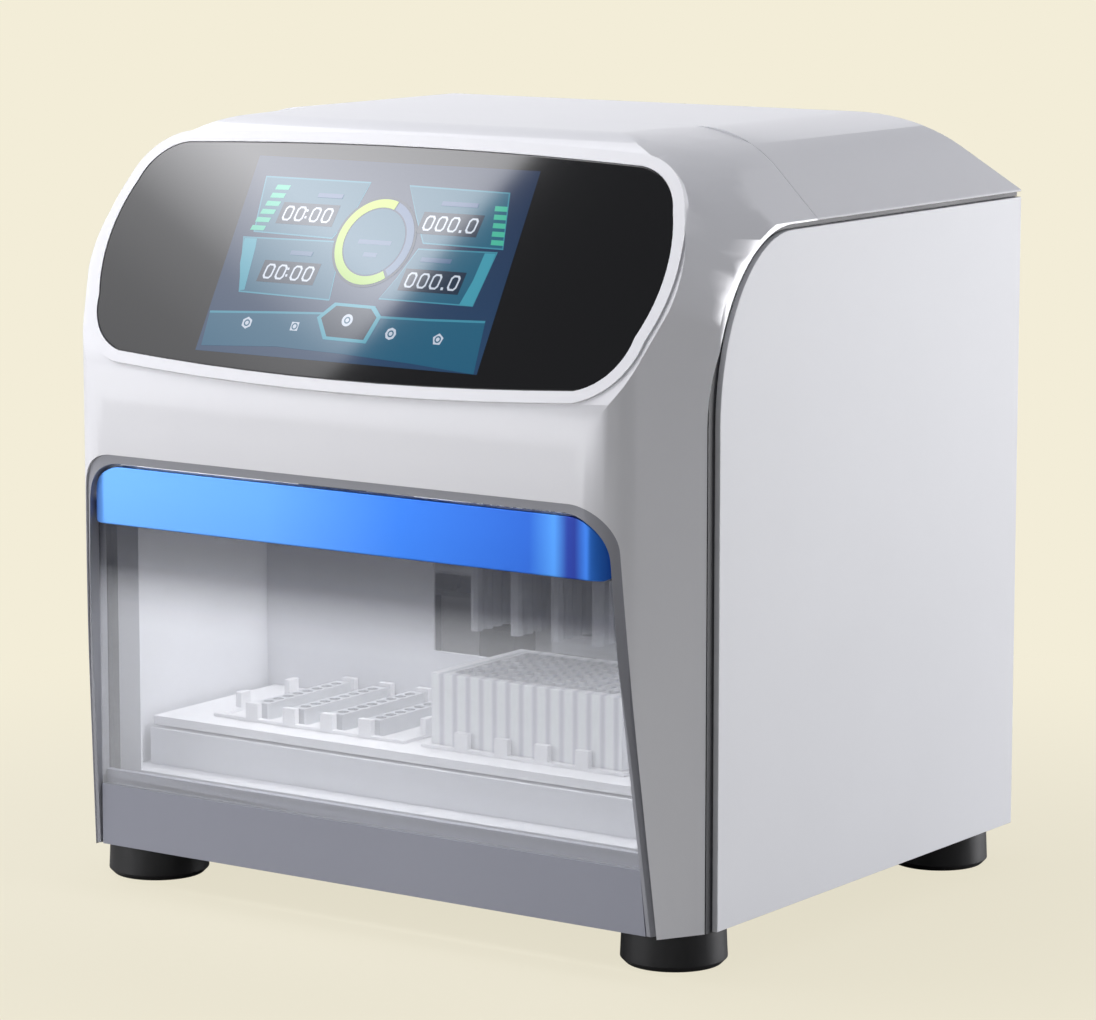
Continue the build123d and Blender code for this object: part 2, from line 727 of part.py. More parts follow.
def door_hinge_brackets():
    """Two steel brackets on the base, each with two ears for a hinge pin."""
    rear = APRON_Y - 2 * FIT
    reach = KNUCKLE_HALF + EAR_SHEET
    foot = span((-reach, reach), (BASE_FRONT_Y, rear), (BASE_TOP_Z, BASE_TOP_Z + EAR_SHEET))
    ears = Part()
    for end in (-1, 1):
        x = end * (KNUCKLE_HALF + (EAR_SHEET + DOOR_GAP) / 2)
        ear = Pos(x, HINGE_Y, HINGE_Z) * (Rot(0, 90, 0) * Cylinder(EAR_R, EAR_SHEET - DOOR_GAP))
        thick = ((x - (EAR_SHEET - DOOR_GAP) / 2), (x + (EAR_SHEET - DOOR_GAP) / 2))
        ear += span(thick, (HINGE_Y, rear), (BASE_TOP_Z, HINGE_Z + EAR_R))
        ears += ear
    bracket = Pos(HINGE_X, 0, 0) * (foot + ears)
    return pair(bracket - across(PIN_R + RUNNING, reach * 2, HINGE_X))


def magnet_face(x):
    half = MAGNET_W / 2
    points = [(x - half, MAGNET_Z - MAGNET_H / 2), (x + half, MAGNET_Z - MAGNET_H / 2)]
    points += [(px, MAGNET_Z + MAGNET_H / 2) for px, _ in reversed(points)]
    return make_face(Polyline(*points, close=True))


def door_magnets():
    """Two magnets glued behind the top corners of the pane."""
    return pair(door_piece(magnet_face(MAGNET_X - MAGNET_W / 2), PANE_SHEET, PANE_SHEET + MAGNET_T))


def door_catches():
    """Steel blocks on the chamber's front flanges that the door magnets meet."""
    x = CHAMBER_HALF - FLANGE_W
    block = span((x - MAGNET_W, x + MAGNET_W / 2), (NOSE_Y, CHAMBER_FRONT_Y),
                 (MAGNET_Z - MAGNET_H, MAGNET_Z + MAGNET_H))
    return pair(block & door_slab(PANE_SHEET + MAGNET_T + FIT, DEPTH))


# ---------------------------------------------------------------- chamber and deck
def chamber_liner():
    """White folded sheet: floor, side walls, front apron and the flanges behind the door."""
    outer = CHAMBER_HALF + SHEET
    floor_low = CHAMBER_FLOOR_Z - SHEET
    liner = span((-outer, outer), (CHAMBER_FRONT_Y, WALL_Y), (floor_low, CHAMBER_FLOOR_Z))
    liner += span((-outer, outer), (APRON_Y, APRON_Y + SHEET), (BASE_TOP_Z, floor_low))
    for side in (-1, 1):
        x = sorted((side * CHAMBER_HALF, side * outer))
        liner += span(x, (CHAMBER_FRONT_Y, WALL_Y), (floor_low, CHAMBER_TOP_Z))
        x = sorted((side * (CHAMBER_HALF - FLANGE_W), side * outer))
        liner += span(x, (CHAMBER_FRONT_Y, CHAMBER_FRONT_Y + SHEET), (floor_low, FLANGE_TOP_Z))
    return liner


def chamber_rear_wall():
    """Bulkhead between the side frames, open where the head reaches through."""
    points = [
        (-FRAME_IN, BASE_TOP_Z),
        (FRAME_IN, BASE_TOP_Z),
        (FRAME_IN, CHAMBER_TOP_Z),
        (WINDOW_RIGHT_X, CHAMBER_TOP_Z),
        (WINDOW_RIGHT_X, WINDOW_LOW_Z),
        (WINDOW_X, WINDOW_LOW_Z),
        (WINDOW_X, WALL_LOW_TOP_Z),
        (SLOT_LEFT_X, WALL_LOW_TOP_Z),
        (SLOT_LEFT_X, CHAMBER_TOP_Z),
        (-FRAME_IN, CHAMBER_TOP_Z),
    ]
    face = make_face(Polyline(*points, close=True))
    return Pos(0, WALL_Y + SHEET, 0) * extrude(Plane.XZ * face, SHEET)


def deck_riser():
    """White folded riser under the deck, with pads that hold the deck clear of it."""
    half = DECK_HALF
    riser = span((-half, half), (RISER_FRONT_Y, DECK_REAR_Y), (CHAMBER_FLOOR_Z, RISER_TOP_Z))
    inner = half - SHEET
    riser -= span((-inner, inner), (RISER_FRONT_Y + SHEET, DECK_REAR_Y - SHEET),
                  (UNDER, RISER_TOP_Z - SHEET))
    for x in (-half + PAD, 0, half - PAD):
        for y in (DECK_FRONT_Y + PAD, DECK_REAR_Y - PAD):
            riser += Pos(x, y, RISER_TOP_Z + DECK_GAP / 2) * Box(PAD, PAD, DECK_GAP)
    return riser


def deck_plate():
    return span((-DECK_HALF, DECK_HALF), (DECK_FRONT_Y, DECK_REAR_Y), (DECK_LOW_Z, DECK_Z))


def channel_columns():
    """Distances of the worked columns from the middle of a plate."""
    middle = (CHANNEL_COLUMNS - 1) / 2
    return [(i - middle) * CHANNEL_STEP * WELL_PITCH for i in range(CHANNEL_COLUMNS)]


def rows():
    """Distances of the rows from the middle of a plate."""
    return [(i - (WELL_ROWS - 1) / 2) * WELL_PITCH for i in range(WELL_ROWS)]


def heater_block(nest_x):
    """Aluminium heater strips under the worked columns, with a pit for each well."""
    strips = []
    for x in channel_columns():
        strip = span((x - STRIP_W / 2, x + STRIP_W / 2),
                     (-STRIP_LENGTH / 2, STRIP_LENGTH / 2), (DECK_Z, DECK_Z + STRIP_H))
        pits = [Pos(x, y) * RegularPolygon(PIT_R, 6) for y in rows()]
        strip -= Pos(0, 0, DECK_Z + STRIP_H - PIT_DEPTH) * extrude(Sketch() + pits, STRIP_H)
        strips.append(Pos(nest_x, PLATE_Y, 0) * strip)
    return Compound(strips)


def plate_nest(nest_x):
    """White locating ring around a plate, with castellated posts."""
    in_x = PLATE_X / 2 + NEST_CLEAR
    in_y = PLATE_Y_SIZE / 2 + NEST_CLEAR
    out_x, out_y = in_x + NEST_RING_W, in_y + NEST_RING_W
    ring = Rectangle(out_x * 2, out_y * 2) - Rectangle(in_x * 2, in_y * 2)
    nest = extrude(ring, NEST_RING_H)
    post = POST_W / 2
    for x in channel_columns():
        for side in (-1, 1):
            y = sorted((side * in_y, side * out_y))
            nest += span((x - post, x + post), y, (0, POST_H))
    for y in (rows()[1], rows()[-2]):
        for side in (-1, 1):
            x = sorted((side * in_x, side * out_x))
            nest += span(x, (y - post, y + post), (0, POST_H))
    return Pos(nest_x, PLATE_Y, DECK_Z) * nest


def deep_well_plate():
    """96-well deep plate: square wells from above and an open skirt below."""
    plate = Pos(0, 0, PLATE_H / 2) * Box(PLATE_X, PLATE_Y_SIZE, PLATE_H)
    skirt = Box(PLATE_X - 2 * SKIRT_WALL, PLATE_Y_SIZE - 2 * SKIRT_WALL, SKIRT_HEIGHT)
    plate -= Pos(0, 0, SKIRT_HEIGHT / 2) * skirt
    grid = GridLocations(WELL_PITCH, WELL_PITCH, WELL_COLUMNS, WELL_ROWS)
    wells = Sketch() + [loc * Rectangle(WELL_SIZE, WELL_SIZE) for loc in grid]
    plate -= Pos(0, 0, WELL_FLOOR) * extrude(wells, PLATE_H)
    return Pos(NEST_RIGHT_X, PLATE_Y, DECK_Z) * plate


def uv_lamp():
    """Germicidal tube along the left wall."""
    length = LAMP_REAR_Y - LAMP_FRONT_Y
    middle = (LAMP_REAR_Y + LAMP_FRONT_Y) / 2
    return Pos(LAMP_X, middle, LAMP_Z) * (Rot(90, 0, 0) * Cylinder(LAMP_R, length))


def uv_lamp_sockets():
    """Two sockets on the left wall that hold the tube's ends."""
    sockets = []
    for y, inward in ((LAMP_FRONT_Y, 1), (LAMP_REAR_Y, -1)):
        ends = sorted((y - inward * (SOCKET_T - SOCKET_SEAT), y + inward * SOCKET_SEAT))
        block = span((-CHAMBER_HALF, LAMP_X + LAMP_R + BUSH_WALL), ends,
                     (LAMP_Z - SOCKET_SIZE / 2, LAMP_Z + SOCKET_SIZE / 2))
        sockets.append(block - uv_lamp())
    return Compound(sockets)


# ---------------------------------------------------------------- gantry
def at_head(x):
    """A distance from the head's middle, as a place along X."""
    return HEAD_X + x


def gantry_beams():
    """Three square beams between the side frames: two for the rails, one for the X screw."""
    ends = (-FRAME_IN, FRAME_IN)
    rail_rear = RAIL_Y + RAIL_T
    beams = []
    for z, front in ((RAIL_LOW_Z, rail_rear), (RAIL_HIGH_Z, rail_rear), (TRAVERSE_Z, TRAVERSE_BEAM_Y)):
        beams.append(span(ends, (front, front + BEAM_D), (z - BEAM_H / 2, z + BEAM_H / 2)))
    return Compound(beams)


def x_rails():
    ends = (-RAIL_HALF, RAIL_HALF)
    depth = (RAIL_Y, RAIL_Y + RAIL_T)
    return Compound([
        span(ends, depth, (z - RAIL_H / 2, z + RAIL_H / 2)) for z in (RAIL_LOW_Z, RAIL_HIGH_Z)
    ])


def along_x(radius, low, high):
    """A round bar on the X screw's line."""
    return Pos((low + high) / 2, TRAVERSE_Y, TRAVERSE_Z) * (Rot(0, 90, 0) * Cylinder(radius, high - low))


def x_screw_bearings():
    """Two bearing stands for the X screw, on the middle beam."""
    stands = []
    for x in (-BEARING_STAND_X, BEARING_STAND_X):
        half = BEARING_STAND_T / 2
        stand = span((x - half, x + half), (TRAVERSE_Y - BEARING_STAND_H / 3, TRAVERSE_BEAM_Y),
                     (TRAVERSE_Z - BEARING_STAND_H / 2, TRAVERSE_Z + BEARING_STAND_H / 2))
        stands.append(stand - along_x(TRAVERSE_R + RUNNING, x - half * 2, x + half * 2))
    return Compound(stands)


def motor_body(size, height):
    """Stepper motor: a square can with chamfered corners, standing on its face."""
    can = extrude(Rectangle(size, size), height)
    return chamfer(can.edges().filter_by(Axis.Z), MOTOR_CHAMFER)


def x_motor():
    """X stepper at the left end of its screw, on the middle beam's bracket."""
    end = -BEARING_STAND_X - BEARING_STAND_T / 2
    motor = Rot(0, -90, 0) * motor_body(MOTOR, MOTOR_H)
    return Pos(end, TRAVERSE_Y, TRAVERSE_Z) * motor


def x_lead_screw():
    end = BEARING_STAND_X + BEARING_STAND_T / 2
    return along_x(TRAVERSE_R, -end + X_MOTOR_END, end)


def x_carriage():
    """X carriage: back plate, end brackets for the lift shafts, and the X screw's nut."""
    wide = (at_head(-BACK_HALF), at_head(BACK_HALF))
    plate_rear = BACK_Y + BACK_SHEET
    frame = span(wide, (BACK_Y, plate_rear), (CARRIAGE_LOW_Z, CARRIAGE_TOP_Z))
    low = (CARRIAGE_LOW_Z, CARRIAGE_LOW_Z + CARRIAGE_END)
    high = (CARRIAGE_TOP_Z - CARRIAGE_END, CARRIAGE_TOP_Z)
    for ends in (low, high):
        frame += span(wide, (BLOCK_FRONT_Y, BACK_Y), ends)
    frame += span((at_head(-NUT_HALF), at_head(NUT_HALF)), (plate_rear, TRAVERSE_Y + NUT_H / 3),
                  (TRAVERSE_Z - NUT_H / 2, TRAVERSE_Z + NUT_H / 2))
    frame -= along_x(TRAVERSE_R + RUNNING, at_head(-NUT_HALF * 2), at_head(NUT_HALF * 2))
    for side in (-1, 1):
        frame -= Pos(at_head(side * SHAFT_X), SLIDE_Y, HEIGHT / 2) * Cylinder(SHAFT_R, HEIGHT)
    seat_z = low[1] - THRUST_DEPTH
    frame -= Pos(at_head(0), SLIDE_Y, seat_z + HEIGHT / 2) * Cylinder(LIFT_SCREW_R + RUNNING, HEIGHT)
    return frame


def x_bearings():
    """Four ball-bearing blocks that hook over the X rails."""
    rear = RAIL_Y + RAIL_T * 0.75
    blocks = []
    for x in (-BEARING_X, BEARING_X):
        for z in (RAIL_LOW_Z, RAIL_HIGH_Z):
            wide = (at_head(x) - BEARING_L / 2, at_head(x) + BEARING_L / 2)
            block = span(wide, (BACK_Y + BACK_SHEET, rear), (z - BEARING_H / 2, z + BEARING_H / 2))
            half = RAIL_H / 2 + RAIL_CLEAR
            block -= span((-WIDTH, WIDTH), (RAIL_Y - RAIL_CLEAR, REAR_Y), (z - half, z + half))
            blocks.append(block)
    return Compound(blocks)


def lift_shafts():
    """Two ground shafts that guide the lift."""
    length = CARRIAGE_TOP_Z - CARRIAGE_LOW_Z
    middle = (CARRIAGE_TOP_Z + CARRIAGE_LOW_Z) / 2
    return Compound([
        Pos(at_head(side * SHAFT_X), SLIDE_Y, middle) * Cylinder(SHAFT_R, length) for side in (-1, 1)
    ])


def lift_motor():
    return Pos(at_head(0), SLIDE_Y, CARRIAGE_TOP_Z) * motor_body(MOTOR, MOTOR_H)


def lift_lead_screw():
    low = CARRIAGE_LOW_Z + CARRIAGE_END - THRUST_DEPTH + FIT
    high = CARRIAGE_TOP_Z - FIT
    return Pos(at_head(0), SLIDE_Y, (low + high) / 2) * Cylinder(LIFT_SCREW_R, high - low)


# ---------------------------------------------------------------- lift and rods
def lift_frame():
    """Lift: a bushed block on the shafts, a cross beam and two arms that reach over the plate."""
    arm_front = PLATE_Y - CARRIER_REACH
    arm = outline(
        [
            (arm_front, CARRIER_Z),
            (ARM_NECK_Y, CARRIER_Z),
            (ARM_NECK_Y, ARM_NECK_Z),
            (ARM_REAR_Y, ARM_NECK_Z),
            (ARM_REAR_Y, ARM_TOP_Z),
            (arm_front + CARRIER_REACH, ARM_TOP_Z),
            (arm_front, ARM_NECK_Z),
        ],
        [0, 0, 0, 0, 0, 6, 6],
    )
    frame = span((at_head(-HEAD_HALF - ARM_SHEET), at_head(HEAD_HALF + ARM_SHEET)),
                 (ARM_REAR_Y, ARM_REAR_Y + BEAM_SHEET), (ARM_NECK_Z, ARM_TOP_Z))
    frame += span((at_head(-BLOCK_HALF), at_head(BLOCK_HALF)),
                  (ARM_REAR_Y + BEAM_SHEET, BLOCK_REAR_Y), (ARM_NECK_Z, ARM_TOP_Z))
    for x in (-HEAD_HALF - ARM_SHEET, HEAD_HALF):
        frame += Pos(at_head(x), 0, 0) * extrude(Plane.YZ * arm, ARM_SHEET)
    for side in (-1, 1):
        frame -= Pos(at_head(side * SHAFT_X), SLIDE_Y, HEIGHT / 2) * Cylinder(SHAFT_R + RUNNING, HEIGHT)
    return frame - Pos(at_head(0), SLIDE_Y, HEIGHT / 2) * Cylinder(LIFT_SCREW_R + RUNNING, HEIGHT)


def comb_carrier():
    """Open tray between the arms that the comb drops into."""
    ring = Rectangle(HEAD_HALF * 2, CARRIER_REACH * 2) - Rectangle(CARRIER_WINDOW_X, CARRIER_WINDOW_Y)
    return Pos(HEAD_X, PLATE_Y, CARRIER_Z) * extrude(ring, CARRIER_SHEET)


def tip_comb():
    """Disposable comb: a sheet with a closed sleeve for each magnetic rod."""
    bores = Sketch() + [
        Pos(x, y) * RegularPolygon(TIP_BORE_R, 8) for x in channel_columns() for y in rows()
    ]
    walls = Sketch() + [Pos(x, y) * RegularPolygon(TIP_R, 8) for x in channel_columns() for y in rows()]
    comb = extrude(Rectangle(COMB_W, COMB_D), COMB_SHEET)
    comb += Pos(0, 0, -TIP_LENGTH) * extrude(walls, TIP_LENGTH)
    comb -= Pos(0, 0, TIP_FLOOR - TIP_LENGTH) * extrude(bores, TIP_LENGTH * 2)
    return Pos(HEAD_X, PLATE_Y, COMB_Z) * comb


def magnet_shafts():
    """Two guide shafts on the comb carrier for the rod plate."""
    low = CARRIER_Z + CARRIER_SHEET
    length = MAGNET_SHAFT_TOP_Z - low
    return Compound([
        Pos(at_head(side * MAGNET_SHAFT_X), PLATE_Y, low + length / 2) * Cylinder(MAGNET_SHAFT_R, length)
        for side in (-1, 1)
    ])


def magnet_bridge():
    """Bridge over the guide shafts that carries the rod motor."""
    high = MAGNET_SHAFT_TOP_Z + BRIDGE_SHEET
    reach = MAGNET_SHAFT_X + MAGNET_SHAFT_R + 1
    bridge = span((at_head(-reach), at_head(reach)), (PLATE_Y - BRIDGE_D / 2, PLATE_Y + BRIDGE_D / 2),
                  (MAGNET_SHAFT_TOP_Z, high))
    return bridge - Pos(at_head(0), PLATE_Y, high) * Cylinder(MAGNET_SCREW_R + RUNNING, BRIDGE_SHEET * 4)


def magnet_motor():
    high = MAGNET_SHAFT_TOP_Z + BRIDGE_SHEET
    return Pos(at_head(0), PLATE_Y, high) * motor_body(SMALL_MOTOR, SMALL_MOTOR_H)


def magnet_lead_screw():
    low = MAGNET_PLATE_Z - SCREW_TAIL
    high = MAGNET_SHAFT_TOP_Z + BRIDGE_SHEET - FIT
    return Pos(at_head(0), PLATE_Y, (low + high) / 2) * Cylinder(MAGNET_SCREW_R, high - low)


def magnet_plate():
    """Rod plate with a bushed ear on each guide shaft and a nut for the screw."""
    plate = Rectangle(MAGNET_PLATE_W, MAGNET_PLATE_D)
    ear = MAGNET_SHAFT_R + BUSH_WALL
    plate += Rectangle(MAGNET_SHAFT_X * 2, ear * 2)
    plate += [Pos(side * MAGNET_SHAFT_X, 0) * Circle(MAGNET_SHAFT_R + RUNNING + 1) for side in (-1, 1)]
    solid = extrude(plate, MAGNET_PLATE_SHEET)
    for side in (-1, 1):
        solid -= Pos(side * MAGNET_SHAFT_X, 0, 0) * Cylinder(MAGNET_SHAFT_R + RUNNING, HEIGHT)
    solid -= Cylinder(MAGNET_SCREW_R + RUNNING, HEIGHT)
    return Pos(HEAD_X, PLATE_Y, MAGNET_PLATE_Z) * solid


def magnet_rods():
    """Magnet-tipped rods that reach down inside the sleeves."""
    low = TIP_LOW_Z + TIP_FLOOR + ROD_CLEAR
    rod = Pos(0, 0, low) * extrude(RegularPolygon(ROD_R, 6), MAGNET_PLATE_Z - low)
    return Compound([
        Pos(HEAD_X + x, PLATE_Y + y, 0) * rod for x in channel_columns() for y in rows()
    ])


# ---------------------------------------------------------------- electronics and rear fittings
def main_board():
    """Control board on four standoffs, with its larger components."""
    board = Pos(BOARD_X, BOARD_Y, BOARD_Z + BOARD_SHEET / 2) * Box(BOARD_W, BOARD_D, BOARD_SHEET)
    stand = BOARD_Z - BASE_TOP_Z
    for sx in (-1, 1):
        for sy in (-1, 1):
            x = BOARD_X + sx * (BOARD_W / 2 - 6)
            y = BOARD_Y + sy * (BOARD_D / 2 - 6)
            board += Pos(x, y, BASE_TOP_Z) * prism(STANDOFF_R, stand)
    top = BOARD_Z + BOARD_SHEET
    for x, y, wide, deep, high in (
        (-20, 10, 24, 24, 3),
        (35, -30, 50, 12, 9),
        (40, 20, 30, 20, 14),
        (-55, -30, 18, 30, 10),
    ):
        board += Pos(BOARD_X + x, BOARD_Y + y, top + high / 2) * Box(wide, deep, high)
    return board


def power_supply():
    """Enclosed power supply on the base, slotted on top."""
    box = Pos(SUPPLY_X, SUPPLY_Y, BASE_TOP_Z + SUPPLY_H / 2) * Box(SUPPLY_W, SUPPLY_D, SUPPLY_H)
    box = chamfer(box.edges().filter_by(Axis.Y), 1.0)
    for row in range(-3, 4):
        slot = Pos(SUPPLY_X, SUPPLY_Y + row * 12, BASE_TOP_Z + SUPPLY_H) * Box(SUPPLY_W * 0.7, 4, 3)
        box -= slot
    return box


def rear_fitting(x, wide, high, depth):
    """A fitting's body through the rear panel, with its flange outside."""
    body = Pos(x, REAR_FACE_Y - depth / 2, SOCKET_Z) * Box(wide, depth, high)
    flange = Box(wide + 2 * FLANGE_LAP, FITTING_SHEET, high + 2 * FLANGE_LAP)
    return body + Pos(x, REAR_FACE_Y + FITTING_SHEET / 2, SOCKET_Z) * flange


def power_inlet():
    """Mains inlet: a deep rectangular mouth in its flange."""
    inlet = rear_fitting(INLET_X, INLET_W, INLET_H, INLET_DEPTH)
    mouth_y = REAR_FACE_Y + FITTING_SHEET
    depth = INLET_MOUTH_DEPTH
    mouth = Box(INLET_MOUTH_W, depth, INLET_MOUTH_H)
    return inlet - Pos(INLET_X, mouth_y - depth / 2, SOCKET_Z) * mouth


def power_switch_frame():
    """Frame of the mains switch, open for its rocker."""
    frame = rear_fitting(SWITCH_X, SWITCH_W, SWITCH_H, SWITCH_DEPTH)
    mouth_y = REAR_FACE_Y + FITTING_SHEET
    depth = SWITCH_DEPTH
    mouth = Box(SWITCH_W - 2 * SWITCH_WALL, depth, SWITCH_H - 2 * SWITCH_WALL)
    return frame - Pos(SWITCH_X, mouth_y - depth / 2, SOCKET_Z) * mouth


def power_switch_rocker():
    """Rocker of the mains switch, resting in its off position."""
    wide = SWITCH_W - 2 * SWITCH_WALL - 2 * FIT
    pivot_y = REAR_FACE_Y - ROCKER_T / 2
    half = SWITCH_H / 2 - SWITCH_WALL - 3 * FIT
    section = outline(
        [(-ROCKER_T / 2, -half + 2), (0, -half), (ROCKER_T / 2, -half), (ROCKER_T / 2 - 1.5, 0),
         (ROCKER_T / 2, half), (0, half), (-ROCKER_T / 2, half - 2)],
        [0, 0, 0, 0, 0, 0, 0],
    )
    rocker = extrude(Plane.YZ * section, wide / 2, both=True)
    axle = Rot(0, 90, 0) * Cylinder(FAN_AXLE_R, SWITCH_W - 2 * SWITCH_WALL - FIT)
    return Pos(SWITCH_X, pivot_y, SOCKET_Z) * (Rot(-ROCKER_TILT, 0, 0) * (rocker + axle))


def usb_port():
    """USB port for results and updates."""
    port = rear_fitting(USB_X, USB_W, USB_H, USB_DEPTH)
    mouth_y = REAR_FACE_Y + FITTING_SHEET
    mouth = Box(USB_W - 2 * USB_WALL, USB_DEPTH, USB_H - 2 * USB_WALL)
    tongue = Box(USB_W - 4 * USB_WALL, USB_DEPTH - 3, 2.0)
    port -= Pos(USB_X, mouth_y - USB_DEPTH / 2, SOCKET_Z) * mouth
    return port + Pos(USB_X, mouth_y - USB_DEPTH / 2 - 1.5, SOCKET_Z + 1) * tongue


def along_fan(radius, low, high):
    """A round bar on the fan's axis."""
    return Pos(FAN_X, (low + high) / 2, FAN_Z) * (Rot(90, 0, 0) * Cylinder(radius, high - low))


def fan_frame():
    """Square fan housing with a three-armed hub and its axle."""
    front = REAR_INNER_Y - FAN_DEPTH
    frame = Pos(FAN_X, (front + REAR_INNER_Y) / 2, FAN_Z) * Box(FAN, FAN_DEPTH, FAN)
    frame = chamfer(frame.edges().filter_by(Axis.Y), 4.0)
    frame -= along_fan(FAN_BORE_R, front - 1, REAR_INNER_Y + 1)
    hub_back = front + FAN_HUB_SHEET
    frame += along_fan(FAN_HUB_R, front, hub_back)
    for turn in (90, 210, 330):
        arm = Pos(FAN_BORE_R / 2, 0, 0) * Box(FAN_BORE_R + 2, FAN_HUB_SHEET, 5)
        frame += Pos(FAN_X, (front + hub_back) / 2, FAN_Z) * (Rot(0, turn, 0) * arm)
    return frame + along_fan(FAN_AXLE_R, hub_back, hub_back + ROTOR_DEPTH * 0.7)


def fan_rotor():
    """Fan rotor: a cup hub with pitched blades."""
    back = REAR_INNER_Y - FAN_DEPTH + FAN_HUB_SHEET + 2 * FIT
    front = back + ROTOR_DEPTH
    rotor = along_fan(ROTOR_HUB_R, back, front)
    middle = (back + front) / 2
    for number in range(BLADES):
        reach = ROTOR_R - ROTOR_HUB_R + 3
        blade = Rot(BLADE_PITCH, 0, 0) * Box(reach, ROTOR_DEPTH, BLADE_SHEET)
        blade = Pos(ROTOR_HUB_R - 3 + reach / 2, 0, 0) * blade
        turn = 360 / BLADES * number
        rotor += Pos(FAN_X, middle, FAN_Z) * (Rot(0, turn, 0) * blade)
    rotor &= along_fan(ROTOR_R, back, front)
    return rotor - along_fan(FAN_AXLE_R + RUNNING, back - 1, back + ROTOR_DEPTH * 0.8)


def fan_guard():
    """Finger guard over the fan hole: rings on four spokes."""
    face = Sketch()
    for ring in range(GUARD_RINGS):
        radius = FAN_BORE_R + GUARD_WIRE - ring * GUARD_STEP
        face += RegularPolygon(radius, GUARD_SIDES) - RegularPolygon(radius - GUARD_WIRE, GUARD_SIDES)
    for turn in (45, 135):
        face += Rot(0, 0, turn) * Rectangle(FAN_BORE_R * 2 + 12, GUARD_WIRE)
    guard = extrude(Plane.XZ * face, GUARD_SHEET)
    return Pos(FAN_X, REAR_FACE_Y + GUARD_SHEET, FAN_Z) * guard


def build_parts():
    """Every sub-part, under the name of its file."""
    parts = {
        "base_plate": base_plate(),
        "feet": feet(),
        "foot_screws": foot_screws(),
        "front_cover": front_cover(),
        "door_bezel": door_bezel(),
        "top_cover": top_cover(),
        "rear_panel": rear_panel(),
        "side_frames": side_frames(),
        "side_panel_left": side_panel(-1),
        "side_panel_right": side_panel(1),
        "edge_trims": edge_trims(),
        "display_glass": display_glass(),
        "display_bracket": display_bracket(),
        "lcd_module": lcd_module(),
        "chamber_liner": chamber_liner(),
        "chamber_rear_wall": chamber_rear_wall(),
        "deck_riser": deck_riser(),
        "deck_plate": deck_plate(),
        "heater_block_left": heater_block(NEST_LEFT_X),
        "heater_block_right": heater_block(NEST_RIGHT_X),
        "plate_nest_left": plate_nest(NEST_LEFT_X),
        "plate_nest_right": plate_nest(NEST_RIGHT_X),
        "deep_well_plate": deep_well_plate(),
        "uv_lamp": uv_lamp(),
        "uv_lamp_sockets": uv_lamp_sockets(),
        "door_rail": door_rail(),
        "door_window": door_window(),
        "door_handle": door_handle(),
        "door_hinge_pins": door_hinge_pins(),
        "door_hinge_brackets": door_hinge_brackets(),
        "door_magnets": door_magnets(),
        "door_catches": door_catches(),
        "gantry_beams": gantry_beams(),
        "x_rails": x_rails(),
        "x_screw_bearings": x_screw_bearings(),
        "x_motor": x_motor(),
        "x_lead_screw": x_lead_screw(),
        "x_carriage": x_carriage(),
        "x_bearings": x_bearings(),
        "lift_shafts": lift_shafts(),
        "lift_motor": lift_motor(),
        "lift_lead_screw": lift_lead_screw(),
        "lift_frame": lift_frame(),
        "comb_carrier": comb_carrier(),
        "tip_comb": tip_comb(),
        "magnet_shafts": magnet_shafts(),
        "magnet_bridge": magnet_bridge(),
        "magnet_motor": magnet_motor(),
        "magnet_lead_screw": magnet_lead_screw(),
        "magnet_plate": magnet_plate(),
        "magnet_rods": magnet_rods(),
        "main_board": main_board(),
        "power_supply": power_supply(),
        "power_inlet": power_inlet(),
        "power_switch_frame": power_switch_frame(),
        "power_switch_rocker": power_switch_rocker(),
        "usb_port": usb_port(),
        "fan_frame": fan_frame(),
        "fan_rotor": fan_rotor(),
        "fan_guard": fan_guard(),
    }
    return parts


os.makedirs("parts", exist_ok=True)
for node, solid in build_parts().items():
    export_step(solid, f"parts/{node}.step")
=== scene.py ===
import bmesh
import bpy
import json
from math import cos, pi, radians, sin
from mathutils import Matrix, Vector


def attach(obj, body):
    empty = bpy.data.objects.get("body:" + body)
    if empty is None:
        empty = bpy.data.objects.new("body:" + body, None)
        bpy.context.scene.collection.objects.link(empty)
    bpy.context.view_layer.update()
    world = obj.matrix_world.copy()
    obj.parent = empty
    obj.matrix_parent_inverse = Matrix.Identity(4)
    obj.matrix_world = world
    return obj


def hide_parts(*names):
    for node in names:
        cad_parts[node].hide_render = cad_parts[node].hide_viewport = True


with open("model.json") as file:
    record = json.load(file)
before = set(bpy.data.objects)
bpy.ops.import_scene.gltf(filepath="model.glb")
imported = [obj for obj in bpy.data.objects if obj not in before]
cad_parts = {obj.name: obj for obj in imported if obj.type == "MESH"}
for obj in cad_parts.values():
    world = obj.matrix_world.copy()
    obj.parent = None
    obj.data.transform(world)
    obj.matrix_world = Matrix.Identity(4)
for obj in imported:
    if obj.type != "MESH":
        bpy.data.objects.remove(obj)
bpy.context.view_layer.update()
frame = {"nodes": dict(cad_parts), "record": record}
nodes = frame["nodes"]


# ---- Moulded covers ------------------------------------------------------------------
# Front and top mouldings in pale satin plastic, with a fine spark texture. They hook over
# the side frames, and a thin seam runs across the roof between them.

def tone(red, green, blue):
    """A colour given as the 0 to 255 values that a screen shows."""
    return tuple(((v / 255 + 0.055) / 1.055) ** 2.4 if v > 10 else v / 3294.6
                 for v in (red, green, blue)) + (1.0,)


